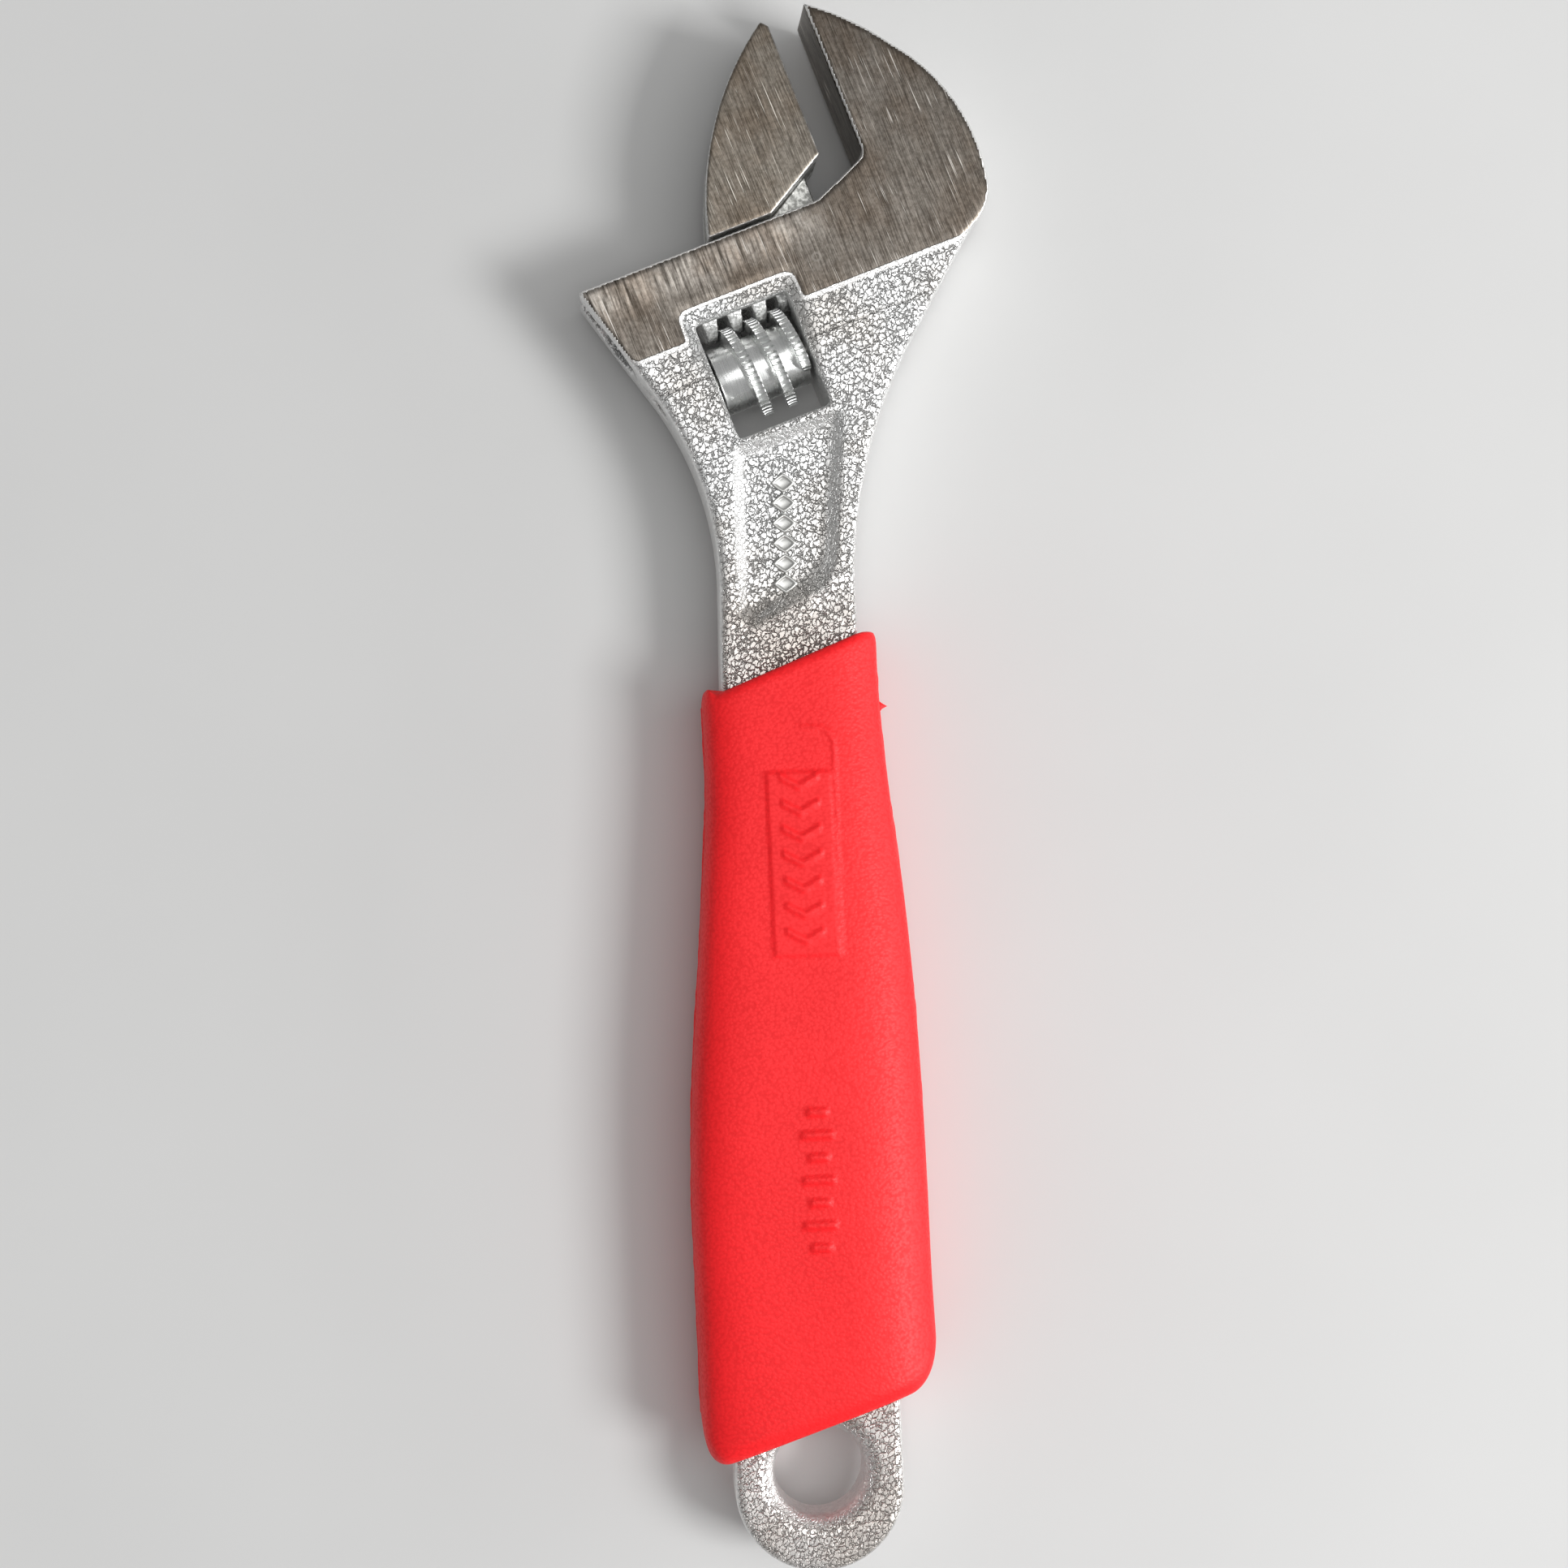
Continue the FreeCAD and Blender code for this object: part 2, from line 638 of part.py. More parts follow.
def make_worm_spring():
    """Small coil spring in the worm's pocket, which presses the worm to the left."""
    start = "dim.worm_left_u + dim.worm_length - dim.spring_pocket_depth + dim.skim"
    body = on_worm_axis("worm_spring", start)
    coil_length = "(dim.window_right_u - dim.skim - 2 * dim.spring_wire_radius - ({}))"
    wire = new_sketch(body, "wire_circle")
    circle(wire, "dim.spring_wire_radius", "dim.spring_mean_radius", "dim.spring_wire_radius")
    coil = body.newObject("PartDesign::AdditiveHelix", "coil")
    coil.Profile = wire
    coil.ReferenceAxis = (wire, ["H_Axis"])
    coil.Mode = "height-turns-angle"
    coil.setExpression("Height", coil_length.format(start))
    coil.setExpression("Turns", "dim.spring_turns")
    doc.recompute()
    return body


# ---------------------------------------------------------------- grip sleeve


def make_grip_sleeve():
    """Moulded sleeve pushed over the handle, with slanting ends."""
    body = new_body("grip_sleeve")
    sections = []
    for place in ("low", "belly", "waist", "high"):
        section = new_sketch(body, f"{place}_section", "XZ_Plane", lift=f"-dim.sleeve_{place}_y")
        rounded_section(section, place)
        sections.append(section)
    loft = body.newObject("PartDesign::AdditiveLoft", "sleeve_outside")
    loft.Profile = sections[0]
    loft.Sections = sections[1:]
    doc.recompute()

    reach = "2 * dim.ring_radius"
    top = new_sketch(body, "top_end_outline")
    closed_outline(top, [
        (f"-({reach})", f"dim.sleeve_top_y - dim.sleeve_top_slope * {reach}"),
        (reach, f"dim.sleeve_top_y + dim.sleeve_top_slope * {reach}"),
        (reach, "dim.sleeve_top_y + dim.overcut"),
        (f"-({reach})", "dim.sleeve_top_y + dim.overcut"),
    ])
    pocket(top, "top_end", "2 * dim.head_thickness")
    end = new_sketch(body, "low_end_outline")
    closed_outline(end, [
        (f"-({reach})", f"dim.sleeve_end_y - dim.sleeve_end_slope * {reach}"),
        (f"-({reach})", "-dim.overcut"),
        (reach, "-dim.overcut"),
        (reach, f"dim.sleeve_end_y + dim.sleeve_end_slope * {reach}"),
    ])
    pocket(end, "low_end", "2 * dim.head_thickness")

    core = new_sketch(body, "core_outline")
    closed_outline(core, [
        ("-dim.ring_radius - dim.sleeve_fit", "dim.ring_centre_y"),
        ("dim.ring_radius + dim.sleeve_fit", "dim.ring_centre_y"),
        ("dim.shank_right_x + dim.sleeve_fit", "dim.shank_right_y"),
        ("dim.shank_left_x - dim.sleeve_fit", "dim.shank_left_y"),
    ])
    pocket(core, "core_space", "dim.shank_thickness + 2 * dim.sleeve_fit")
    return body


def rounded_section(sketch, place):
    """A rectangle with four rounded corners, wider on one side of the handle's centre line."""
    right, left, depth = (f"dim.sleeve_{place}_{side}" for side in ("right", "left", "depth"))
    corner = "dim.sleeve_corner"
    closed_outline(sketch, [
        (f"{corner} - {left}", f"-{depth}"),
        (f"{right} - {corner}", f"-{depth}", corner),
        (right, f"{corner} - {depth}"),
        (right, f"{depth} - {corner}", corner),
        (f"{right} - {corner}", depth),
        (f"{corner} - {left}", depth, corner),
        (f"-{left}", f"{depth} - {corner}"),
        (f"-{left}", f"{corner} - {depth}", corner),
    ])


# ---------------------------------------------------------------- build, check and write

bodies = [
    make_wrench_body(),
    make_movable_jaw(),
    make_adjusting_worm(),
    make_worm_pin(),
    make_worm_spring(),
    make_grip_sleeve(),
]
doc.recompute()

for item in doc.Objects:
    if "Invalid" in item.State or "Error" in item.State:
        raise RuntimeError(f"{item.Label} failed: {item.State}")
for body in bodies:
    if body.Shape.isNull() or not body.Shape.isValid() or len(body.Shape.Solids) != 1:
        raise RuntimeError(f"{body.Label} is not one valid solid")

os.makedirs("parts", exist_ok=True)
for body in bodies:
    body.Shape.exportStep(f"parts/{body.Label}.step")
    print(f"{body.Label}: {body.Shape.Volume:.0f} mm3")
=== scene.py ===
"""Adjustable wrench: the looks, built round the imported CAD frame.

Lengths are written in millimetres and times MM, in the CAD frame: the origin on the hanging
hole's axis, +Y along the handle towards the head, +Z out of the face that the camera sees.
The head's own directions are u, across the jaw faces, and v, along them.
"""
import json
import math

import bpy
import numpy as np
from mathutils import Matrix, Vector


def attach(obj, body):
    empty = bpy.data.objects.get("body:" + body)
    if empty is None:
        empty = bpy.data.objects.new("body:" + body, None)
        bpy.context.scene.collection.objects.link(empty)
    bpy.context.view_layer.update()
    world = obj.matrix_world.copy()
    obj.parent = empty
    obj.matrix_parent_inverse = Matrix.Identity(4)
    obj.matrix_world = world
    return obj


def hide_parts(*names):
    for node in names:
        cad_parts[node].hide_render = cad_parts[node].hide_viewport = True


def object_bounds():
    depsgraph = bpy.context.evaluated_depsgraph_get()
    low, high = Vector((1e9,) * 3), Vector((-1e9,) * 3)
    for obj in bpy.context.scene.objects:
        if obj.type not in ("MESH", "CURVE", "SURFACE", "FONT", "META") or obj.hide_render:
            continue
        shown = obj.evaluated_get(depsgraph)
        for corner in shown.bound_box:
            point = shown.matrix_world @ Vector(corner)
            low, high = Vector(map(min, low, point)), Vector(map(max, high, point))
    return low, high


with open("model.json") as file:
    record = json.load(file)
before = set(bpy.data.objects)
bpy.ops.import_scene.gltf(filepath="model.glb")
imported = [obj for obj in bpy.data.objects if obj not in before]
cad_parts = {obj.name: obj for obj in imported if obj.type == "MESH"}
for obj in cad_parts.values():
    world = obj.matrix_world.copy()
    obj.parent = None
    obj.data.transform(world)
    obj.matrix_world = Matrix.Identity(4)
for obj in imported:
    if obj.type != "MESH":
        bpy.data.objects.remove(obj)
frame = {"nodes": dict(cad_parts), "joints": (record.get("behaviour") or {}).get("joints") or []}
cad_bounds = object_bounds()

MM = 0.001
SLIDE_AXIS = Vector(next(j["axis"] for j in frame["joints"] if j["name"] == "jaw_slide"))
HEAD_ANGLE = math.atan2(SLIDE_AXIS.y, SLIDE_AXIS.x)

# the head, in u and v: half thicknesses, then where its faces and edges stand
HALF_HEAD = 6.25
HALF_JAW = 6.2
HALF_WEB = 2.1
HALF_SHANK = 4.0
RING_BORE_RADIUS = 5.9
COLLAR_U = (38.0, 55.2)
COLLAR_TOP_V = 146.5
WINDOW_U = (39.2, 54.0)
WINDOW_V = (126.8, 144.6)
PANEL_X = (-8.5, 11.0)
PANEL_TOP_Y = 139.0
GROUND_EDGE_V = 142.1
BREAK_LINE_V = 136.8
SLIDE_EDGE_V = 152.9
FIXED_FACE_U = 68.8
JAW_BASE_V = 153.4
WORM_AXIS_V = 136.35
DENT_PLACE = (4.68, 157.15)
DENT_RADIUS = 0.5

# the worm, along its own axis from its left end
PITCH = 3.43
WORM_LEFT_U = 40.6
WORM_LENGTH = 11.8
WORM_CORE_RADIUS = 4.5
WORM_CREST_RADIUS = 6.35
WORM_BORE_RADIUS = 1.56
SPRING_POCKET_RADIUS = 2.5
SPRING_POCKET_DEPTH = 3.4
THREAD_MIDDLE = 3.255
THREAD_START_TURN = -1 / 3
THREAD_END_TURN = 2.37
SERRATIONS_PER_TURN = 50
SERRATION_DEPTH = 0.45

# ---------------------------------------------------------------- numbers and meshes


def head_uv(points):
    """u and v, in millimetres, of points in the frame."""
    x, y = points[:, 0] / MM, points[:, 1] / MM
    cosine, sine = math.cos(HEAD_ANGLE), math.sin(HEAD_ANGLE)
    return x * cosine + y * sine, y * cosine - x * sine


def ramp(value, low, high):
    """From 0 at low to 1 at high, with soft ends."""
    t = np.clip((value - low) / (high - low), 0, 1)
    return t * t * (3 - 2 * t)


def within(value, low, high, edge):
    """1 between low and high, falling to 0 over the edge's width inside each."""
    return ramp(value, low, low + edge) * ramp(-value, -high, edge - high)


def through(value, places, heights):
    """A smooth curve through a few points, read at value."""
    places = np.asarray(places, float)
    heights = np.asarray(heights, float)
    slopes = np.gradient(heights, places)
    value = np.clip(value, places[0], places[-1])
    i = np.clip(np.searchsorted(places, value) - 1, 0, len(places) - 2)
    span = places[i + 1] - places[i]
    t = (value - places[i]) / span
    return (
        heights[i] * (1 + 2 * t) * (1 - t) ** 2
        + heights[i + 1] * t * t * (3 - 2 * t)
        + span * (slopes[i] * t * (1 - t) ** 2 + slopes[i + 1] * t * t * (t - 1))
    )


def wobble(value, period, seed):
    """A gentle random wave from -1 to 1 along value, the same on each run."""
    table = np.random.default_rng(seed).uniform(-1, 1, 512)
    place = value / period
    i = np.floor(place).astype(int)
    t = place - i
    t = t * t * (3 - 2 * t)
    return table[i % 512] * (1 - t) + table[(i + 1) % 512] * t


def coordinates(mesh):
    """A mesh's vertices as an array."""
    points = np.zeros(len(mesh.vertices) * 3)
    mesh.vertices.foreach_get("co", points)
    return points.reshape(-1, 3)


def set_coordinates(mesh, points):
    """Moves a mesh's vertices to the rows of an array."""
    mesh.vertices.foreach_set("co", points.ravel())
    mesh.update()


def normals(mesh):
    """A mesh's vertex normals as an array."""
    directions = np.zeros(len(mesh.vertices) * 3)
    mesh.vertex_normals.foreach_get("vector", directions)
    return directions.reshape(-1, 3)


def smooth(mesh, weight, rounds):
    """Pulls each vertex halfway to its neighbours' middle, times its weight, some rounds."""
    points = coordinates(mesh)
    edges = np.zeros(len(mesh.edges) * 2, int)
    mesh.edges.foreach_get("vertices", edges)
    here = np.concatenate([edges[0::2], edges[1::2]])
    there = np.concatenate([edges[1::2], edges[0::2]])
    count = np.maximum(np.bincount(here, minlength=len(points)), 1)
    for _ in range(rounds):
        for axis in range(3):
            middle = np.bincount(here, points[there, axis], len(points)) / count
            points[:, axis] += 0.5 * weight * (middle - points[:, axis])
    set_coordinates(mesh, points)


def new_piece(name, mesh, body, material):
    """An object for a mesh, riding on a CAD body, with its material."""
    piece = bpy.data.objects.new(name, mesh)
    bpy.context.scene.collection.objects.link(piece)
    mesh.materials.clear()
    mesh.materials.append(material)
    mesh.shade_smooth()
    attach(piece, body)
    return piece


def even_quads(node, voxel):
    """A new mesh of a CAD node's shape, in even quads of one size."""
    source = frame["nodes"][node]
    copy = bpy.data.objects.new(f"{node}_copy", source.data.copy())
    bpy.context.scene.collection.objects.link(copy)
    remesh = copy.modifiers.new("even_quads", "REMESH")
    remesh.mode = "VOXEL"
    remesh.voxel_size = voxel * MM
    depsgraph = bpy.context.evaluated_depsgraph_get()
    mesh = bpy.data.meshes.new_from_object(copy.evaluated_get(depsgraph))
    bpy.data.objects.remove(copy)
    return mesh


def add_attribute(mesh, name, values):
    """Stores one number for each vertex, for the material to read."""
    layer = mesh.attributes.new(name, "FLOAT", "POINT")
    layer.data.foreach_set("value", np.asarray(values, np.float32))


def tube_mesh(name, rings, closed_ends=False):
    """A mesh from rings, an array (ring, point, xyz) in metres. The rings' points go round, and
    the last ring meets the first unless the ends are capped."""
    count, around = rings.shape[:2]
    ring = np.arange(count if not closed_ends else count - 1)[:, None]
    column = np.arange(around)[None, :]
    right = (column + 1) % around
    above = (ring + 1) % count
    quads = np.stack([
        ring * around + column,
        ring * around + right,
        above * around + right,
        above * around + column,
    ], axis=-1).reshape(-1, 4)
    faces = quads.tolist()
    if closed_ends:
        faces.append(list(range(around))[::-1])
        faces.append(list(range((count - 1) * around, count * around)))
    mesh = bpy.data.meshes.new(name)
    mesh.from_pydata(rings.reshape(-1, 3).tolist(), [], faces)
    mesh.update()
    return mesh


def joined(name, meshes):
    """One mesh from several."""
    points, faces, start = [], [], 0
    for mesh in meshes:
        points.extend(tuple(vertex.co) for vertex in mesh.vertices)
        faces.extend([start + i for i in face.vertices] for face in mesh.polygons)
        start += len(mesh.vertices)
    whole = bpy.data.meshes.new(name)
    whole.from_pydata(points, [], faces)
    whole.update()
    return whole


# ---------------------------------------------------------------- materials


class Graph:
    """A material's node tree, with short calls for the nodes used here."""

    def __init__(self, name):
        self.material = bpy.data.materials.new(name)
        self.material.use_nodes = True
        self.tree = self.material.node_tree
        self.shader = self.tree.nodes["Principled BSDF"]
        self.place = self.node("TexCoord").outputs["Object"]

    def node(self, kind, inputs=None, **settings):
        """Adds a node. inputs maps a socket's name or number to a value or an output."""
        added = self.tree.nodes.new("ShaderNode" + kind)
        for key, value in settings.items():
            setattr(added, key, value)
        for key, value in (inputs or {}).items():
            self.put(added.inputs[key], value)
        return added

    def put(self, socket, value):
        """Gives a socket a value or links an output to it."""
        if isinstance(value, bpy.types.NodeSocket):
            self.tree.links.new(value, socket)
        else:
            socket.default_value = value

    def math(self, operation, first, second=0.0):
        """The result of an operation on one or two numbers."""
        return self.node("Math", {0: first, 1: second}, operation=operation).outputs[0]

    def span(self, value, low, high, to_low=0.0, to_high=1.0):
        """value from low..high, moved softly to to_low..to_high and kept there."""
        inputs = {"Value": value, "From Min": low, "From Max": high}
        inputs.update({"To Min": to_low, "To Max": to_high})
        added = self.node("MapRange", inputs, interpolation_type="SMOOTHSTEP")
        return added.outputs["Result"]

    def mix(self, share, first, second):
        """A number from first to second."""
        inputs = {0: share, 2: first, 3: second}
        return self.node("Mix", inputs, data_type="FLOAT").outputs[0]

    def colour(self, share, first, second, blend="MIX"):
        """A colour from first to second."""
        inputs = {0: share, 6: first, 7: second}
        return self.node("Mix", inputs, data_type="RGBA", blend_type=blend).outputs[2]

    def mapped(self, scale=(1, 1, 1), turn=0.0, place=None):
        """The object's coordinates, turned about Z and stretched."""
        turned = self.node("Mapping", {
            "Vector": place or self.place, "Rotation": (0, 0, turn)}).outputs[0]
        return self.node("Mapping", {"Vector": turned, "Scale": scale}).outputs[0]

    def warped(self, size, amount):
        """The object's coordinates, pushed about by up to amount millimetres."""
        push = self.node("TexNoise", {"Vector": self.place, "Scale": 1 / (size * MM)})
        off = self.node("VectorMath", {0: push.outputs["Color"], 1: (0.5, 0.5, 0.5)},
                        operation="SUBTRACT").outputs[0]
        reach = (2 * amount * MM,) * 3
        return self.node("VectorMath", {0: off, 1: reach, 2: self.place},
                         operation="MULTIPLY_ADD").outputs[0]

    def noise(self, size, place=None, detail=2.0, rough=0.5):
        """Noise whose blotches are about size millimetres."""
        return self.node("TexNoise", {
            "Vector": place or self.place,
            "Scale": 1 / (size * MM),
            "Detail": detail,
            "Roughness": rough,
        }).outputs["Fac"]

    def attribute(self, name):
        """A number stored on the mesh."""
        return self.node("Attribute", attribute_name=name).outputs["Fac"]

    def bump(self, height, depth):
        """A normal from a height of 0 to 1, depth in millimetres."""
        inputs = {"Height": height, "Distance": depth * MM, "Strength": 1.0}
        return self.node("Bump", inputs).outputs["Normal"]

    def finish(self, colour, roughness, normal, **constants):
        """Links the shader's colour, roughness and normal, and sets its constants."""
        self.put(self.shader.inputs["Base Color"], colour)
        self.put(self.shader.inputs["Roughness"], roughness)
        self.put(self.shader.inputs["Normal"], normal)
        for key, value in constants.items():
            self.shader.inputs[key.replace("_", " ")].default_value = value
        return self.material


def blasted_skin(graph):
    """Plump bright grains with thin curling grooves between them, as shot blasting leaves under
    plating; where this skin is used, the grooves are painted dark as shade.
    Returns the height, 0 in a groove and 1 on a grain, and each grain's random tone."""
    lean = math.radians(25)
    place = graph.mapped((1.25, 0.78, 1.0), turn=lean, place=graph.warped(0.60, 0.40))
    cell = {"Vector": place, "Scale": 1 / (0.74 * MM)}
    groove = graph.node("TexVoronoi", cell, feature="DISTANCE_TO_EDGE").outputs["Distance"]
    grain = graph.node("TexVoronoi", cell, feature="F1").outputs["Color"]
    shade = graph.node("SeparateXYZ", {0: grain}).outputs["X"]
    pits = graph.span(graph.noise(0.40, detail=2.0, rough=0.6), 0.30, 0.46)
    height = graph.math("MULTIPLY", graph.span(groove, 0.0, 0.12), pits)
    return height, shade


def brushed_lines(graph):
    """Grinding lines along v: fine ones everywhere, bold ones in the left arm beside the slide,
    and long bright scratches. Returns their height, the scratches, and the bold zone."""
    lean = math.radians(1.5)
    place = graph.mapped(turn=-HEAD_ANGLE)
    split = graph.node("SeparateXYZ", {0: place})
    bold = graph.span(split.outputs["Y"], 147.0 * MM, 150.0 * MM)
    bold = graph.math("MULTIPLY", bold, graph.span(split.outputs["X"], 62.0 * MM, 57.0 * MM))
    off_jaw = graph.span(split.outputs["Y"], (JAW_BASE_V - 0.1) * MM, (SLIDE_EDGE_V + 0.1) * MM)
    bold = graph.math("MULTIPLY", bold, off_jaw)
    fine = graph.noise(0.13, graph.mapped((1, 0.03, 0.3), place=place), detail=3.0, rough=0.7)
    wide = graph.mapped((1, 0.07, 0.3), place=graph.mapped(turn=-HEAD_ANGLE + lean))
    streaks = graph.noise(0.42, wide, detail=2.0, rough=0.6)
    lines = graph.mix(graph.mix(bold, 0.18, 0.75), fine, streaks)
    along = graph.mapped((1, 0.020, 0.3), place=graph.mapped(turn=-HEAD_ANGLE - lean))
    scratch = graph.span(graph.noise(0.17, along, detail=0.0), 0.70, 0.78)
    gaps = graph.span(graph.noise(5.0, detail=2.0), 0.45, 0.58)
    return lines, graph.math("MULTIPLY", scratch, gaps), bold


def steel_look(graph):
    """Colour, roughness and height of warm grey ground steel."""
    lines, scratch, bold = brushed_lines(graph)
    tone = graph.span(lines, 0.30, 0.72)
    light = graph.colour(bold, (0.335, 0.302, 0.265, 1), (0.66, 0.61, 0.550, 1))
    steel = graph.colour(tone, (0.098, 0.086, 0.073, 1), light)
    mottle = graph.noise(0.55, detail=3.0, rough=0.65)
    steel = graph.colour(graph.span(mottle, 0.4, 0.62), steel, (0.72, 0.71, 0.70, 1), "MULTIPLY")
    stain = graph.span(graph.noise(9.0, detail=4.0, rough=0.6), 0.40, 0.66)
    steel = graph.colour(stain, steel, (0.80, 0.74, 0.69, 1), "MULTIPLY")
    steel = graph.colour(scratch, steel, (0.66, 0.62, 0.57, 1))
    roughness = graph.span(lines, 0.3, 0.7, 0.38, 0.28)
    return steel, roughness, graph.math("MULTIPLY", lines, 0.10)


def dent_ring(graph):
    """1 on a fine ring pressed into the head's front face, and 0 elsewhere."""
    x, y = DENT_PLACE
    centre = (x * MM, y * MM, HALF_HEAD * MM)
    away = graph.node("VectorMath", {0: graph.place, 1: centre}, operation="DISTANCE")
    past = graph.math("SUBTRACT", away.outputs["Value"], DENT_RADIUS * MM)
    off = graph.math("ABSOLUTE", past)
    return graph.span(off, 0.08 * MM, 0.2 * MM, 1.0, 0.0)


def faint_crease(graph):
    """1 on the fine uneven line where the head's plated slope begins, and 0 elsewhere."""
    v = graph.node("SeparateXYZ", {0: graph.mapped(turn=-HEAD_ANGLE)}).outputs["Y"]
    stray = graph.span(graph.noise(3.0), 0.3, 0.7, -0.15 * MM, 0.15 * MM)
    off = graph.math("SUBTRACT", graph.math("ADD", v, stray), BREAK_LINE_V * MM)
    return graph.span(graph.math("ABSOLUTE", off), 0.04 * MM, 0.22 * MM, 0.8, 0.0)


def forging_material():
    """Bright plating over a shot-blasted forging, with the head's faces ground bare."""
    graph = Graph("plated_forging")
    grains, shade = blasted_skin(graph)
    grain = graph.attribute("grain")
    crease_and_shade = graph.math("MULTIPLY", faint_crease(graph), graph.span(grain, 0.5, 0.9))
    ragged = graph.math("MULTIPLY", graph.noise(0.5), 0.16)
    border = graph.math("ADD", graph.attribute("ground"), ragged)
    ground = graph.span(border, 0.88, 0.96)
    lip = graph.span(border, 0.22, 0.50)

    top = graph.colour(shade, (0.70, 0.705, 0.70, 1), (0.98, 0.985, 0.98, 1))
    # painted shade: the grooves are coloured dark, on top of their dip in the bump
    plated = graph.colour(grains, (0.30, 0.30, 0.295, 1), top)
    clouds = graph.span(graph.noise(9.0, detail=3.0), 0.35, 0.7)
    plated = graph.colour(clouds, plated, (0.84, 0.81, 0.78, 1), "MULTIPLY")
    # a warm cast on the ring, and painted shade on the shank where the sleeve meets it
    y = graph.node("SeparateXYZ", {0: graph.place}).outputs["Y"]
    by_ring = graph.span(y, 60.0 * MM, 20.0 * MM)
    shade_by_sleeve = graph.math("SUBTRACT", graph.span(y, 122.0 * MM, 106.0 * MM), by_ring)
    plated = graph.colour(by_ring, plated, (1.0, 0.955, 0.93, 1), "MULTIPLY")
    plated = graph.colour(shade_by_sleeve, plated, (0.80, 0.76, 0.73, 1), "MULTIPLY")
    soft = graph.noise(0.7, detail=3.0)
    bare = graph.colour(soft, (0.72, 0.72, 0.715, 1), (0.97, 0.97, 0.96, 1))
    plated = graph.colour(grain, bare, plated)
    plated = graph.colour(lip, plated, (0.93, 0.92, 0.90, 1))
    # painted shade along the crease, besides its dip in the bump below
    plated = graph.colour(crease_and_shade, plated, (0.62, 0.61, 0.60, 1), "MULTIPLY")
    steel, steel_rough, steel_height = steel_look(graph)
    # painted shade of the pressed ring: a darker ring on the ground steel, with no relief of its own
    dent_shade = graph.math("MULTIPLY", dent_ring(graph), 0.5)
    steel = graph.colour(dent_shade, steel, (0.30, 0.28, 0.25, 1))
    colour = graph.colour(ground, plated, steel)

    plated_rough = graph.mix(grain, 0.44, graph.span(grains, 0.2, 0.8, 0.50, 0.36))
    roughness = graph.mix(ground, plated_rough, steel_rough)
    blasted = graph.mix(grain, graph.math("MULTIPLY", grains, 0.10), grains)
    blasted = graph.mix(graph.math("MULTIPLY", lip, 0.75), blasted, 1.0)
    blasted = graph.math("SUBTRACT", blasted, graph.math("MULTIPLY", crease_and_shade, 0.6))
    height = graph.mix(ground, blasted, steel_height)
    return graph.finish(colour, roughness, graph.bump(height, 0.13), Metallic=1.0)


def jaw_material():
    """Ground steel on the jaw, brighter than the head's, and plating left on its web and rack."""
    graph = Graph("ground_steel")
    ground = graph.attribute("ground")
    steel, steel_rough, steel_height = steel_look(graph)
    skin = graph.noise(0.45, detail=2.0)
    shade = graph.span(skin, 0.35, 0.65)
    plated = graph.colour(shade, (0.50, 0.50, 0.49, 1), (0.97, 0.97, 0.96, 1))
    # painted shade on the thin web, set well back from the jaw's faces
    plated = graph.colour(graph.attribute("web"), plated, (0.62, 0.62, 0.60, 1), "MULTIPLY")
    brighter = (1.28, 1.28, 1.25, 1)
    steel = graph.colour(1.0, steel, brighter, "MULTIPLY")
    colour = graph.colour(ground, plated, steel)
    roughness = graph.mix(ground, graph.span(skin, 0.3, 0.7, 0.50, 0.36), steel_rough)
    height = graph.mix(ground, graph.math("MULTIPLY", skin, 0.8), steel_height)
    return graph.finish(colour, roughness, graph.bump(height, 0.13), Metallic=1.0)


def turned_material(name, dark, light, rough):
    """Turned or drawn steel: fine rings round the worm's axis, with faint stains."""
    graph = Graph(name)
    rings = graph.mapped(scale=(1, 0.04, 0.04), turn=-HEAD_ANGLE)
    fine = graph.noise(0.12, rings, detail=2.0)
    stain = graph.noise(1.6, detail=3.0)
    tone = graph.mix(0.5, graph.span(fine, 0.3, 0.7), graph.span(stain, 0.35, 0.65))
    colour = graph.colour(tone, dark, light)
    roughness = graph.span(stain, 0.3, 0.7, rough + 0.08, rough - 0.06)
    return graph.finish(colour, roughness, graph.bump(fine, 0.012), Metallic=1.0)


def sleeve_material():
    """Soft red PVC with the fine leather grain of its mould."""
    graph = Graph("red_sleeve")
    smooth_zone = graph.attribute("smooth_zone")
    cells = graph.node("TexVoronoi", {
        "Vector": graph.mapped(scale=(0.8, 1.0, 1.0)), "Scale": 1 / (0.36 * MM),
        "Randomness": 1.0}, feature="SMOOTH_F1").outputs["Distance"]
    pores = graph.noise(0.24, detail=2.0, rough=0.6)
    grain = graph.mix(0.5, graph.span(cells, 0.1, 0.8), pores)
    blotches = graph.noise(11.0, detail=3.0)
    tone = graph.mix(0.35, graph.span(grain, 0.3, 0.75, 1.0, 0.0), graph.span(blotches, 0.3, 0.7))
    colour = graph.colour(tone, (0.80, 0.0050, 0.0085, 1), (0.97, 0.0120, 0.0170, 1))
    roughness = graph.span(grain, 0.25, 0.75, 0.46, 0.58)
    depth = graph.mix(smooth_zone, 1.0, 0.25)
    height = graph.math("MULTIPLY", graph.math("SUBTRACT", 1.0, grain), depth)
    return graph.finish(colour, roughness, graph.bump(height, 0.045),
                        Metallic=0.0, IOR=1.40)


# ---------------------------------------------------------------- forged body


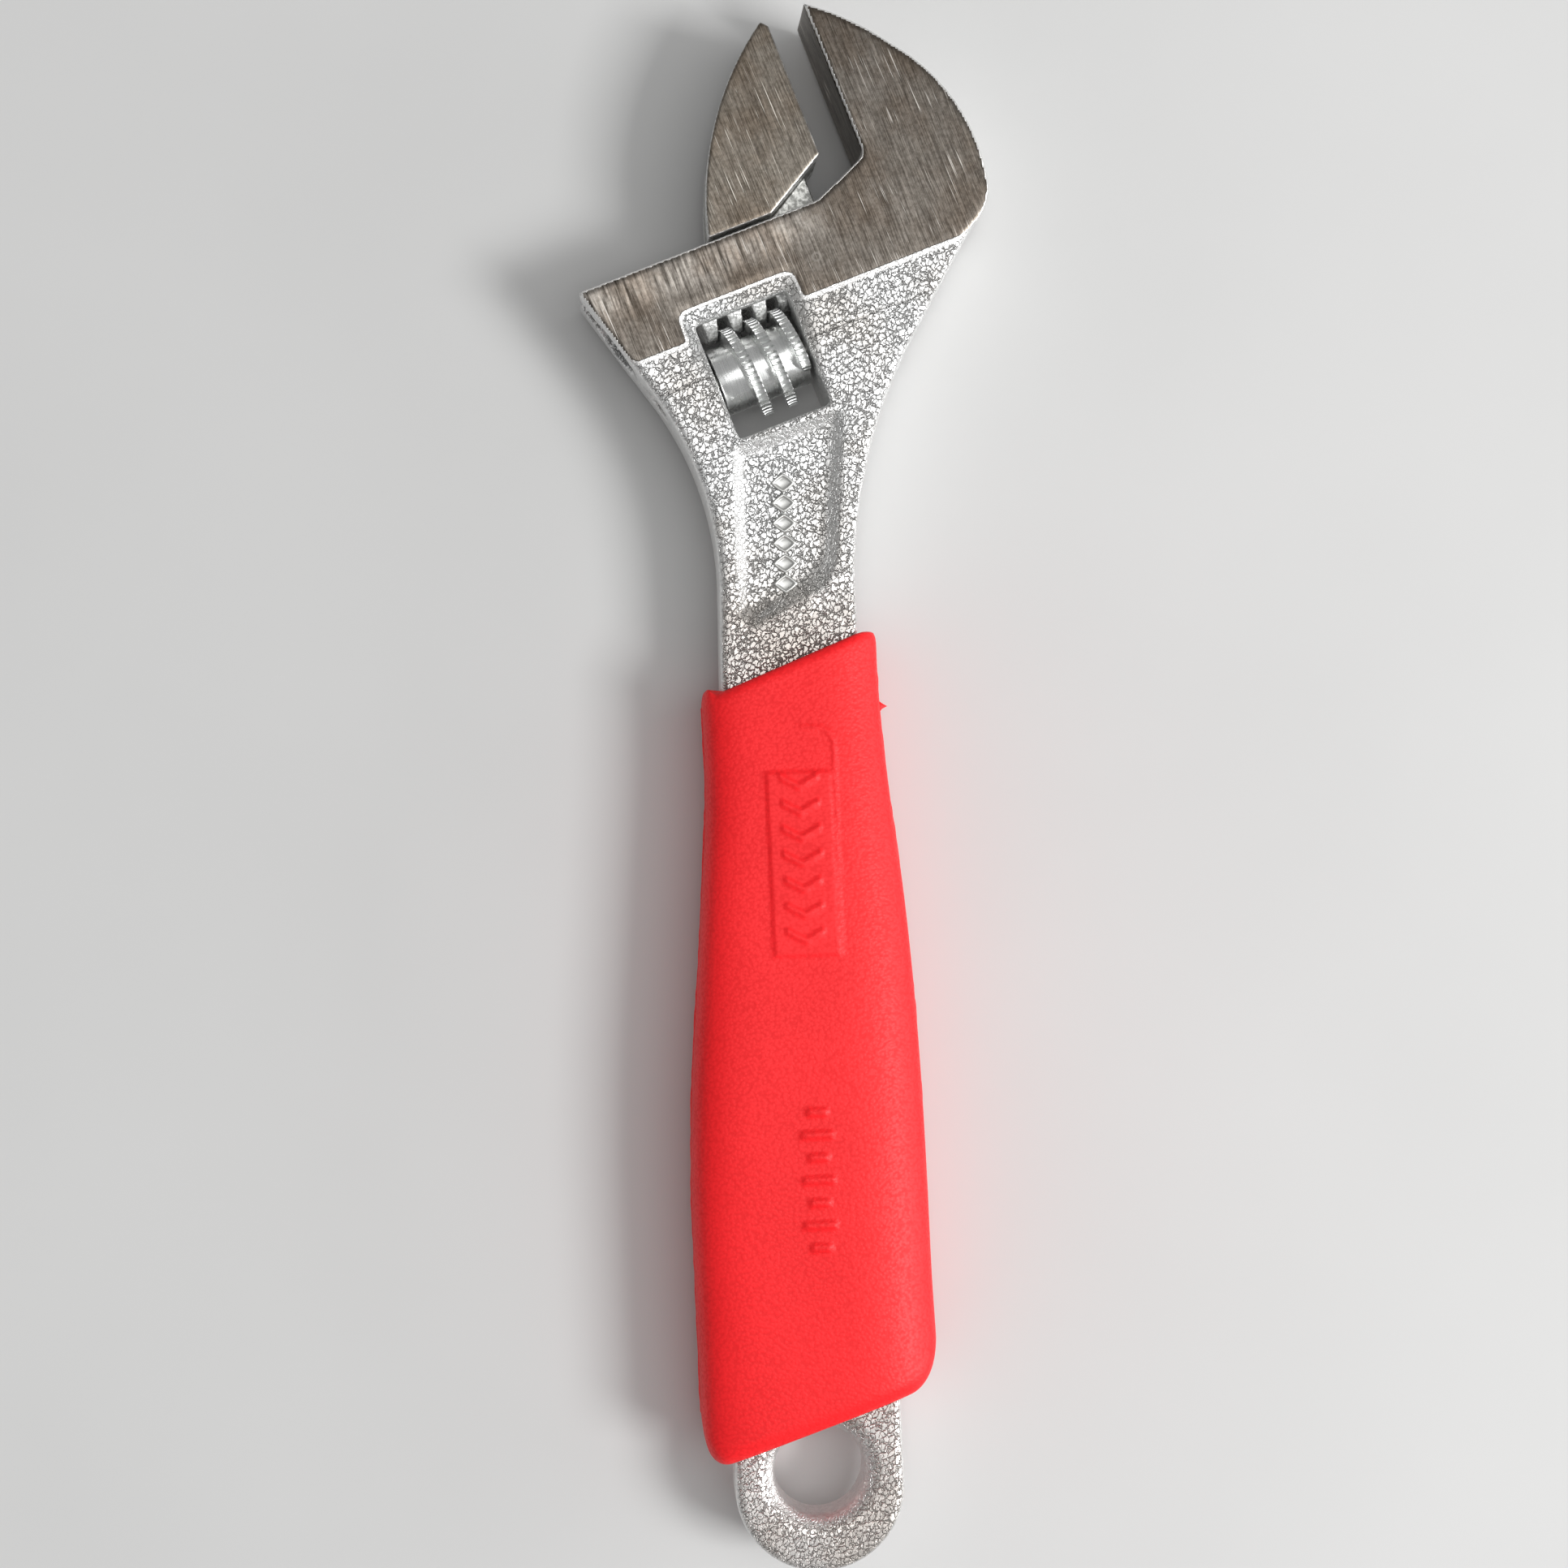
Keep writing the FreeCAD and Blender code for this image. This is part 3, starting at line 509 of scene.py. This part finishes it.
def make_wrench_body():
    """The forging: soft forged edges, crisp ground faces, a dished hanging ring."""
    mesh = even_quads("wrench_body", 0.3)
    u, v = head_uv(coordinates(mesh))
    in_head = ramp(v, GROUND_EDGE_V - 0.4, GROUND_EDGE_V + 0.4)
    in_collar = within(u, *COLLAR_U, 0.6) * ramp(-v, -COLLAR_TOP_V, 0.6 - COLLAR_TOP_V)
    in_window = within(u, *WINDOW_U, 0.5) * within(v, *WINDOW_V, 0.5)
    x, y, z = coordinates(mesh).T / MM
    at_panel = within(x, *PANEL_X, 0.8) * within(y, 108.0, PANEL_TOP_Y, 2.0)
    at_panel = at_panel * ramp(np.abs(z), 2.6, 3.0)
    crisp = np.maximum(in_head * (1 - in_collar), in_window)
    crisp = np.maximum(0.85 * crisp, 0.70 * at_panel)
    rounds = 24
    smooth(mesh, 1 - crisp, rounds)

    points = coordinates(mesh)
    reach = np.hypot(points[:, 0], points[:, 1]) / MM
    points[:, 2] *= 1 - 0.12 * (1 - ramp(reach, RING_BORE_RADIUS, 8.4))
    set_coordinates(mesh, points)

    facing = normals(mesh)
    u, v = head_uv(points)
    x, y, z = points.T / MM
    along_u = facing[:, 0] * math.cos(HEAD_ANGLE) + facing[:, 1] * math.sin(HEAD_ANGLE)
    along_v = facing[:, 1] * math.cos(HEAD_ANGLE) - facing[:, 0] * math.sin(HEAD_ANGLE)
    level = np.abs(facing[:, 2])
    on_face = ramp(np.abs(z), HALF_HEAD - 0.30, HALF_HEAD - 0.06)
    on_face = on_face * ramp(v, GROUND_EDGE_V - 1.3, GROUND_EDGE_V + 0.2)
    on_slide = ramp(along_v, 0.8, 0.95) * (np.abs(v - SLIDE_EDGE_V) < 0.4)
    on_jaw = ramp(-along_u, 0.8, 0.95) * (np.abs(u - FIXED_FACE_U) < 0.4)
    add_attribute(mesh, "ground", np.maximum(on_face, np.maximum(on_slide, on_jaw)))
    rim = 0.75 * (1 - ramp(reach, 6.2, 7.6))
    edges = 0.85 * (1 - ramp(level, 0.62, 0.95))
    at_walls = within(x, *PANEL_X, 0.5) * within(y, 114.0, PANEL_TOP_Y, 4.0)
    panel_walls = 0.55 * at_walls * (1 - ramp(level, 0.88, 0.97))
    add_attribute(mesh, "grain", 1 - np.maximum(rim, np.maximum(edges, panel_walls)))

    piece = new_piece("wrench_body_forged", mesh, "root", forging_material())
    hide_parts("wrench_body")


def panel_floor(v):
    """The height of the sunk panel's floor at v: the sloping face, less the panel's depth."""
    taper_end_v, break_z, depth = 104.0, 6.0, 1.2
    share = (v - taper_end_v) / (BREAK_LINE_V - taper_end_v)
    return HALF_SHANK + share * (break_z - HALF_SHANK) - depth


def make_panel_marks():
    """A plain row of raised hollow lozenges down the middle of both panels."""
    half_width, half_height, middle_x = 1.65, 1.28, -0.5
    lowest_y, step, count = 115.4, 2.6, 6
    meshes = []
    angle = np.linspace(0, 2 * math.pi, 33)[:-1]
    reach = 1 / (np.abs(np.cos(angle)) + np.abs(np.sin(angle))) ** 0.75
    # from the outer edge to the hollow: a share of the half sizes, and the height off the floor
    profile = ((1.0, -0.3), (1.0, 0.10), (0.93, 0.27), (0.84, 0.32), (0.72, 0.29), (0.62, 0.08),
               (0.56, 0.04))
    for side in (1, -1):
        for number in range(count):
            rings = []
            for share, rise in profile:
                x = half_width * share * reach * np.cos(angle) + middle_x
                y = half_height * share * reach * np.sin(angle) + lowest_y + step * number
                v = y * math.cos(HEAD_ANGLE) - x * math.sin(HEAD_ANGLE)
                rings.append(np.stack([x, y, side * (panel_floor(v) + rise)], axis=-1))
            rings = np.stack(rings if side == 1 else rings[::-1]) * MM
            meshes.append(tube_mesh("lozenge", rings, closed_ends=True))
    mesh = joined("panel_marks", meshes)
    add_attribute(mesh, "ground", np.zeros(len(mesh.vertices)))
    add_attribute(mesh, "grain", np.full(len(mesh.vertices), 0.8))
    material = bpy.data.materials["plated_forging"]
    new_piece("panel_marks", mesh, "root", material)


# ---------------------------------------------------------------- movable jaw


def make_movable_jaw():
    """The jaw with lightly broken edges, its web and its toothed rack."""
    mesh = even_quads("movable_jaw", 0.16)
    v = head_uv(coordinates(mesh))[1]
    smooth(mesh, 0.20 + 0.60 * ramp(v, 149.0, 151.0), 4)
    points = coordinates(mesh)
    facing = normals(mesh)
    v = head_uv(points)[1]
    along_u = facing[:, 0] * math.cos(HEAD_ANGLE) + facing[:, 1] * math.sin(HEAD_ANGLE)
    on_face = ramp(np.abs(points[:, 2]) / MM, HALF_JAW - 0.15, HALF_JAW - 0.04)
    on_grip = ramp(along_u, 0.8, 0.95)
    on_jaw = ramp(v, JAW_BASE_V - 0.4, JAW_BASE_V)
    add_attribute(mesh, "ground", on_jaw * np.maximum(on_face, on_grip))
    in_web = np.abs(points[:, 2]) < (HALF_WEB + 0.4) * MM
    # the thin web, whose plating the material darkens as painted shade
    add_attribute(mesh, "web", ramp(v, 151.5, 152.5) * in_web)
    piece = new_piece("movable_jaw_ground", mesh, "jaw", jaw_material())
    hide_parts("movable_jaw")


# ---------------------------------------------------------------- worm, pin and spring


def on_worm_axis(along, radius, angle):
    """Points in the frame, in metres, from the place along the worm's axis, the distance from
    it, and the angle from +v towards +Z."""
    u = WORM_LEFT_U + along
    v = WORM_AXIS_V + radius * np.cos(angle)
    x = u * math.cos(HEAD_ANGLE) - v * math.sin(HEAD_ANGLE)
    y = u * math.sin(HEAD_ANGLE) + v * math.cos(HEAD_ANGLE)
    z = radius * np.sin(angle)
    return np.stack([x, y, z], axis=-1) * MM


def worm_core():
    """The worm's barrel with broken edges, its through bore and its spring pocket."""
    edge, bore_edge = 0.25, 0.1
    round_in, round_down = 0.08, 0.07
    inner = WORM_LENGTH - SPRING_POCKET_DEPTH
    profile = [
        (edge, WORM_CORE_RADIUS),
        (WORM_LENGTH - edge, WORM_CORE_RADIUS),
        (WORM_LENGTH - round_in, WORM_CORE_RADIUS - round_down),
        (WORM_LENGTH, WORM_CORE_RADIUS - edge),
        (WORM_LENGTH, SPRING_POCKET_RADIUS + bore_edge),
        (WORM_LENGTH - bore_edge, SPRING_POCKET_RADIUS),
        (inner, SPRING_POCKET_RADIUS),
        (inner, WORM_BORE_RADIUS),
        (bore_edge, WORM_BORE_RADIUS),
        (0, WORM_BORE_RADIUS + bore_edge),
        (0, WORM_CORE_RADIUS - edge),
        (round_in, WORM_CORE_RADIUS - round_down),
    ]
    around = 128
    angle = np.linspace(0, 2 * math.pi, around, endpoint=False)
    rings = np.stack([on_worm_axis(np.full(around, a), r, angle) for a, r in profile])
    return tube_mesh("worm_core", rings[::-1])


def worm_thread():
    """The thread as one ridge wound round the barrel, with serrations across its crest."""
    steps, start_run, end_run = 12, 0.09, 0.05
    turns = np.arange(THREAD_START_TURN, THREAD_END_TURN, 1 / (SERRATIONS_PER_TURN * steps))
    lead_in = ramp(turns, THREAD_START_TURN, THREAD_START_TURN + start_run)
    lead_in = lead_in * ramp(-turns, -THREAD_END_TURN, end_run - THREAD_END_TURN)
    notch = np.clip(np.cos(2 * math.pi * SERRATIONS_PER_TURN * turns) * 1.5 - 0.5, 0, 1)
    crest = WORM_CORE_RADIUS + (WORM_CREST_RADIUS - WORM_CORE_RADIUS) * (0.12 + 0.88 * lead_in)
    root = WORM_CORE_RADIUS - 0.25
    # across the thread: a place along the axis, a share of its height, and of the notches' depth
    sides = [
        (-1.02, 0.0, 0.0), (-0.93, 0.14, 0.0), (-0.76, 0.86, 0.0), (-0.68, 0.98, 0.15),
        (-0.60, 1.0, 0.85), (-0.50, 0.98, 1.0), (0.0, 0.96, 1.0), (0.50, 0.98, 1.0),
        (0.60, 1.0, 0.85), (0.68, 0.98, 0.15), (0.76, 0.86, 0.0), (0.93, 0.14, 0.0),
        (1.02, 0.0, 0.0),
    ]
    rings = []
    for across, rise, notched in sides:
        along = THREAD_MIDDLE + PITCH * turns + across * (0.55 + 0.45 * lead_in)
        radius = root + (crest - root) * rise - SERRATION_DEPTH * notch * notched * lead_in
        rings.append(on_worm_axis(np.minimum(along, WORM_LENGTH - 0.02), radius, 2 * math.pi * turns))
    return tube_mesh("worm_thread", np.stack(rings, axis=1), closed_ends=True)


def make_adjusting_worm():
    """The knurled worm."""
    mesh = joined("adjusting_worm_knurled", [worm_core(), worm_thread()])
    material = turned_material("plated_worm", (0.74, 0.75, 0.74, 1), (0.97, 0.98, 0.97, 1), 0.26)
    piece = new_piece("adjusting_worm_knurled", mesh, "worm", material)
    mesh.set_sharp_from_angle(angle=math.radians(34))
    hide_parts("adjusting_worm")


def dress_pin_and_spring():
    """The pin and the spring keep their CAD shapes, with steel finishes, and the pin with broken
    edges.
    """
    pin = frame["nodes"]["worm_pin"]
    pin.data.materials.clear()
    pin.data.materials.append(
        turned_material("pin_steel", (0.40, 0.39, 0.37, 1), (0.66, 0.65, 0.62, 1), 0.30))
    bevel = pin.modifiers.new("broken_edges", "BEVEL")
    bevel.width = 0.12 * MM
    bevel.segments = 2
    bevel.limit_method = "ANGLE"
    spring = frame["nodes"]["worm_spring"]
    spring.data.materials.clear()
    spring.data.materials.append(
        turned_material("spring_steel", (0.28, 0.28, 0.28, 1), (0.52, 0.51, 0.50, 1), 0.32))


# ---------------------------------------------------------------- grip sleeve

# places up the handle, and the sleeve's half widths and half thickness there
SLEEVE_PLACES = (0, 12, 25, 38, 50, 63, 75, 88, 100, 112)
SLEEVE_RIGHT = (16.0, 16.1, 15.7, 15.5, 15.2, 14.6, 13.7, 12.3, 11.35, 11.2)
SLEEVE_LEFT = (15.0, 15.1, 15.25, 15.3, 14.8, 13.7, 12.7, 11.75, 11.85, 12.4)
SLEEVE_DEPTH = (7.2, 7.5, 7.65, 7.75, 7.6, 7.35, 7.1, 6.8, 6.45, 6.3)

# where its ends, its marks and the nib stand, and the handle inside it
LOW_EDGE_Y = 5.7
HIGH_EDGE_Y = 105.25
LIP_NARROWING = 0.45
LABEL_X = 0.2
LABEL_Y = 79.1
LABEL_HALF = (4.25, 11.9)
NIB_Y = 99.2
HANDLE_LOW_Y = -1.96
HANDLE_LOW_HALF = 11.1
HANDLE_TAPER_RIGHT = 2.6 / 116.5
HANDLE_TAPER_LEFT = 1.9 / 118.0
CORE_GAP = 0.12


def rounded_corner(past, reach, rise):
    """How far an edge bends up, past the place where its corner begins."""
    past = np.clip(past, 0, reach - 0.05)
    return rise * (reach - np.sqrt(reach ** 2 - past ** 2))


def sleeve_low_edge(x):
    """The slanting low end, with its two rounded corners."""
    slant = 0.33 * x
    corners = rounded_corner(x - 12.2, 3.95, 1.3) + rounded_corner(-11.4 - x, 3.75, 1.5)
    return LOW_EDGE_Y + slant + corners


def sleeve_high_edge(x):
    """The slanting top end, its rounded right corner, and the lip that curls up on the left."""
    right = np.clip(x - 8.2, 0, None)
    curl = 1.1 * np.exp(-(((x + 11.2) / 0.7) ** 2))
    return HIGH_EDGE_Y + 0.396 * x - 0.115 * right ** 2 + curl


def outer_section(fractions):
    """Unit x, and unit z, at fractions of the way round the sleeve's outside."""
    half_width, half_depth = 14, 7
    squareness_right, squareness_left = 3.3, 4.6
    angle = np.linspace(0, 2 * math.pi, 721)
    sharp = np.where(np.cos(angle) > 0, squareness_right, squareness_left)
    across = np.sign(np.cos(angle)) * np.abs(np.cos(angle)) ** (2 / sharp)
    up = np.sign(np.sin(angle)) * np.abs(np.sin(angle)) ** (2 / sharp)
    steps = np.hypot(np.diff(across * half_width), np.diff(up * half_depth))
    length = np.concatenate([[0], np.cumsum(steps)])
    length /= length[-1]
    return np.interp(fractions, length, across), np.interp(fractions, length, up)


def round_fractions():
    """Where the columns stand round the section: even, and closer at the parting line."""
    half = np.linspace(0.012, 0.488, 118)
    seam = np.array([0.0, 0.0015, 0.004, 0.0075])
    top = np.concatenate([seam, half, 0.5 - seam[::-1]])
    return np.concatenate([top[:-1], 1 - top[::-1][:-1]])


def nearest_step(value, step):
    """How far value is from the nearest whole number of steps, and which step that is."""
    number = np.round(value / step)
    return np.abs(value / step - number) * step, number


def front_relief(x, y):
    """How far the front stands proud at x and y: a raised label with chevrons, a fine outline
    beside it, and a row of bars lower down. Also how far x and y are past the label's edge."""
    lean = 0.012 * (y - LABEL_Y)
    from_middle = np.abs(x - LABEL_X + lean)
    inside = np.maximum(from_middle - LABEL_HALF[0], np.abs(y - LABEL_Y) - LABEL_HALF[1])
    plate = 0.20 * (1 - ramp(inside, -0.20, 0.12))
    chevron, number = nearest_step(y - LABEL_Y - 0.55 * from_middle, 3.3)
    on_label = (from_middle < 2.5) * (np.abs(number) < 3.5)
    chevrons = 0.22 * (1 - ramp(chevron, 0.28, 0.58)) * on_label
    corner_x, corner_y, corner = LABEL_X + LABEL_HALF[0] - 1.8, 94.4, 2.1
    over = np.hypot(np.clip(x - corner_x, 0, None), np.clip(y - corner_y, 0, None))
    fades = ramp(x, corner_x - 3.5, corner_x - 0.5) * ramp(y, 66.0, 68.0)
    line = 0.13 * (1 - ramp(np.abs(over - corner), 0.12, 0.45)) * fades
    bars_x, bars_y, half_row = 0.9, 38.5, 10.5
    bar, number = nearest_step(y - bars_y, 2.9)
    half_bar = 2.1 - 0.8 * (np.abs(number) % 2)
    ends = ramp(np.abs(x - bars_x), half_bar - 0.2, half_bar + 0.2)
    bars = 0.32 * (1 - ramp(bar, 0.3, 0.65)) * (1 - ends) * (np.abs(y - bars_y) < half_row)
    return plate + chevrons + line + bars, inside


def at_share(x, share):
    """Y at x, a share of the way from the sleeve's low end to its high end."""
    return sleeve_low_edge(x) * (1 - share) + sleeve_high_edge(x) * share


def outer_row(section, share, inset):
    """A ring of the outside at a share of the length, pulled in by inset."""
    unit_x, unit_z = section
    y = np.full(len(unit_x), LOW_EDGE_Y * (1 - share) + HIGH_EDGE_Y * share)
    for _ in range(4):
        right = through(y, SLEEVE_PLACES, SLEEVE_RIGHT)
        left = through(y, SLEEVE_PLACES, SLEEVE_LEFT)
        x = (np.where(unit_x > 0, right, left) - LIP_NARROWING * inset) * unit_x
        y = at_share(x, share)
    z = (through(y, SLEEVE_PLACES, SLEEVE_DEPTH) - inset) * unit_z
    return x, y, z


def moulded_row(section, share):
    """A ring of the outside with its parting line, its nib and the marks on its front."""
    x, y, z = outer_row(section, share, 0)
    unit_z = section[1]
    seam_half = 0.035
    seam = np.exp(-((unit_z / seam_half) ** 2))
    flash = seam * (0.11 + 0.05 * wobble(y, 1.3, 3) + 0.10 * np.clip(wobble(y, 6.0, 4), 0, 1))
    nib_half = 0.32
    nib = seam * np.exp(-(((y - NIB_Y) / nib_half) ** 2)) * (x > 0)
    x = x + np.sign(x) * flash + nib
    lift = front_relief(x, y)[0]
    z = z + np.where(unit_z > 0, lift, 0) * ramp(np.abs(unit_z), 0.8, 0.95)
    return x, y, z


def core_row(section, share):
    """A ring just inside the handle's skin, which narrows towards the shank."""
    unit_x, unit_z = section
    power = 0.72
    across = np.sign(unit_x) * np.abs(unit_x) ** power
    level = np.sign(unit_z) * np.abs(unit_z) ** power
    up = LOW_EDGE_Y * (1 - share) + HIGH_EDGE_Y * share - HANDLE_LOW_Y
    half_right = HANDLE_LOW_HALF - HANDLE_TAPER_RIGHT * up - CORE_GAP
    half_left = HANDLE_LOW_HALF - HANDLE_TAPER_LEFT * up - CORE_GAP
    x = np.where(unit_x > 0, half_right, half_left) * across
    return x, at_share(x, share), (HALF_SHANK - CORE_GAP) * level


def end_wall(first, last, shares):
    """Rings on the way from one ring to another."""
    return [tuple(a * (1 - t) + b * t for a, b in zip(first, last)) for t in shares]


def make_grip_sleeve():
    """The moulded sleeve as one closed tube: outside, lips, end walls and inside."""
    section = outer_section(round_fractions())
    low_share, high_share = 0.028, 0.985
    high_inset, low_inset = 0.9, 2.2
    high_lip, low_lip = [], []
    for a in np.linspace(0.2, math.pi / 2, 6):
        share = high_share + (1 - high_share) * math.sin(a)
        high_lip.append(outer_row(section, share, high_inset * (1 - math.cos(a))))
    for a in np.linspace(math.pi / 2, 0.1, 10):
        share = low_share * (1 - math.sin(a))
        low_lip.append(outer_row(section, share, low_inset * (1 - math.cos(a))))

    rows = [moulded_row(section, share) for share in np.linspace(low_share, high_share, 300)]
    rows.extend(high_lip)
    rows.extend(end_wall(high_lip[-1], core_row(section, 1.0), (0.3, 0.6, 0.85, 1.0)))
    rows.extend(core_row(section, share) for share in np.linspace(0.97, 0.03, 24))
    rows.extend(end_wall(core_row(section, 0.0), low_lip[0], (0.0, 0.25, 0.5, 0.75)))
    rows.extend(low_lip)

    rings = np.stack([np.stack(row, axis=-1) for row in rows]) * MM
    mesh = tube_mesh("grip_sleeve_moulded", rings)
    x, y, z = coordinates(mesh).T / MM
    label = (1 - ramp(front_relief(x, y)[1], -0.4, 0.0)) * (z > 3)
    lip = ramp(y - sleeve_high_edge(x), -1.2, -0.4) + ramp(sleeve_low_edge(x) - y, -1.6, -0.5)
    add_attribute(mesh, "smooth_zone", np.clip(label + lip, 0, 1))
    piece = new_piece("grip_sleeve_moulded", mesh, "root", sleeve_material())
    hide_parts("grip_sleeve")


# ---------------------------------------------------------------- stage, lights and camera


def make_floor():
    """A plain pale floor under the wrench's lowest point, wide enough to fill low views."""
    half, gap = 6.0, 0.02
    level = cad_bounds[0].z - gap * MM
    mesh = bpy.data.meshes.new("floor")
    corners = [(-half, -half, level), (half, -half, level), (half, half, level), (-half, half, level)]
    mesh.from_pydata(corners, [], [(0, 1, 2, 3)])
    floor = bpy.data.objects.new("floor", mesh)
    bpy.context.scene.collection.objects.link(floor)
    graph = Graph("floor")
    mottle = graph.noise(60.0, detail=4.0)
    colour = graph.colour(mottle, (0.60, 0.60, 0.595, 1), (0.66, 0.66, 0.655, 1))
    graph.finish(colour, 0.8, graph.bump(mottle, 0.02))
    mesh.materials.append(graph.material)


def area_light(name, place, target, size, power):
    """A soft rectangular light aimed at a point."""
    data = bpy.data.lights.new(name, "AREA")
    data.shape = "RECTANGLE"
    data.size, data.size_y = size
    data.energy = power
    light = bpy.data.objects.new(name, data)
    bpy.context.scene.collection.objects.link(light)
    light.location = place
    light.rotation_euler = (Vector(target) - Vector(place)).to_track_quat("-Z", "Y").to_euler()


def make_lights():
    """Soft studio light: a key from the right, a large overhead panel for the metal to mirror,
    a low strip for the right edges, and a dim surround. Places and sizes are in metres."""
    middle = (0, 0.09, 0)
    area_light("key", (0.82, -0.22, 0.85), middle, (0.42, 0.42), 10.5)
    area_light("overhead", (0.22, 0.12, 1.0), (0.0, 0.1, 0), (0.5, 0.9), 2.7)
    area_light("side", (0.85, 0.02, 0.16), middle, (0.9, 0.22), 2.8)
    world = bpy.data.worlds.new("surround")
    bpy.context.scene.world = world
    world.use_nodes = True
    background = world.node_tree.nodes["Background"]
    background.inputs["Color"].default_value = (1, 1, 1, 1)
    background.inputs["Strength"].default_value = 0.33
    bpy.context.scene.view_settings.view_transform = "Standard"


def make_camera():
    """A camera above the handle's left side, looking down, with the handle nearly upright."""
    place = Vector((-24.3, 90.2, 342.0)) * MM
    target = Vector((-1.4, 89.4, 0.0)) * MM
    upright = Vector((math.sin(math.radians(1.96)), math.cos(math.radians(1.96)), 0))
    data = bpy.data.cameras.new("camera")
    data.lens = 60.03
    data.clip_start = 0.01
    camera = bpy.data.objects.new("camera", data)
    bpy.context.scene.collection.objects.link(camera)
    ahead = (target - place).normalized()
    right = ahead.cross(upright).normalized()
    up = right.cross(ahead)
    camera.matrix_world = Matrix((
        (right.x, up.x, -ahead.x, place.x),
        (right.y, up.y, -ahead.y, place.y),
        (right.z, up.z, -ahead.z, place.z),
        (0, 0, 0, 1),
    ))
    bpy.context.scene.camera = camera


# ---------------------------------------------------------------- build

make_camera()
make_lights()
make_floor()
make_wrench_body()
make_panel_marks()
make_movable_jaw()
make_adjusting_worm()
dress_pin_and_spring()
make_grip_sleeve()
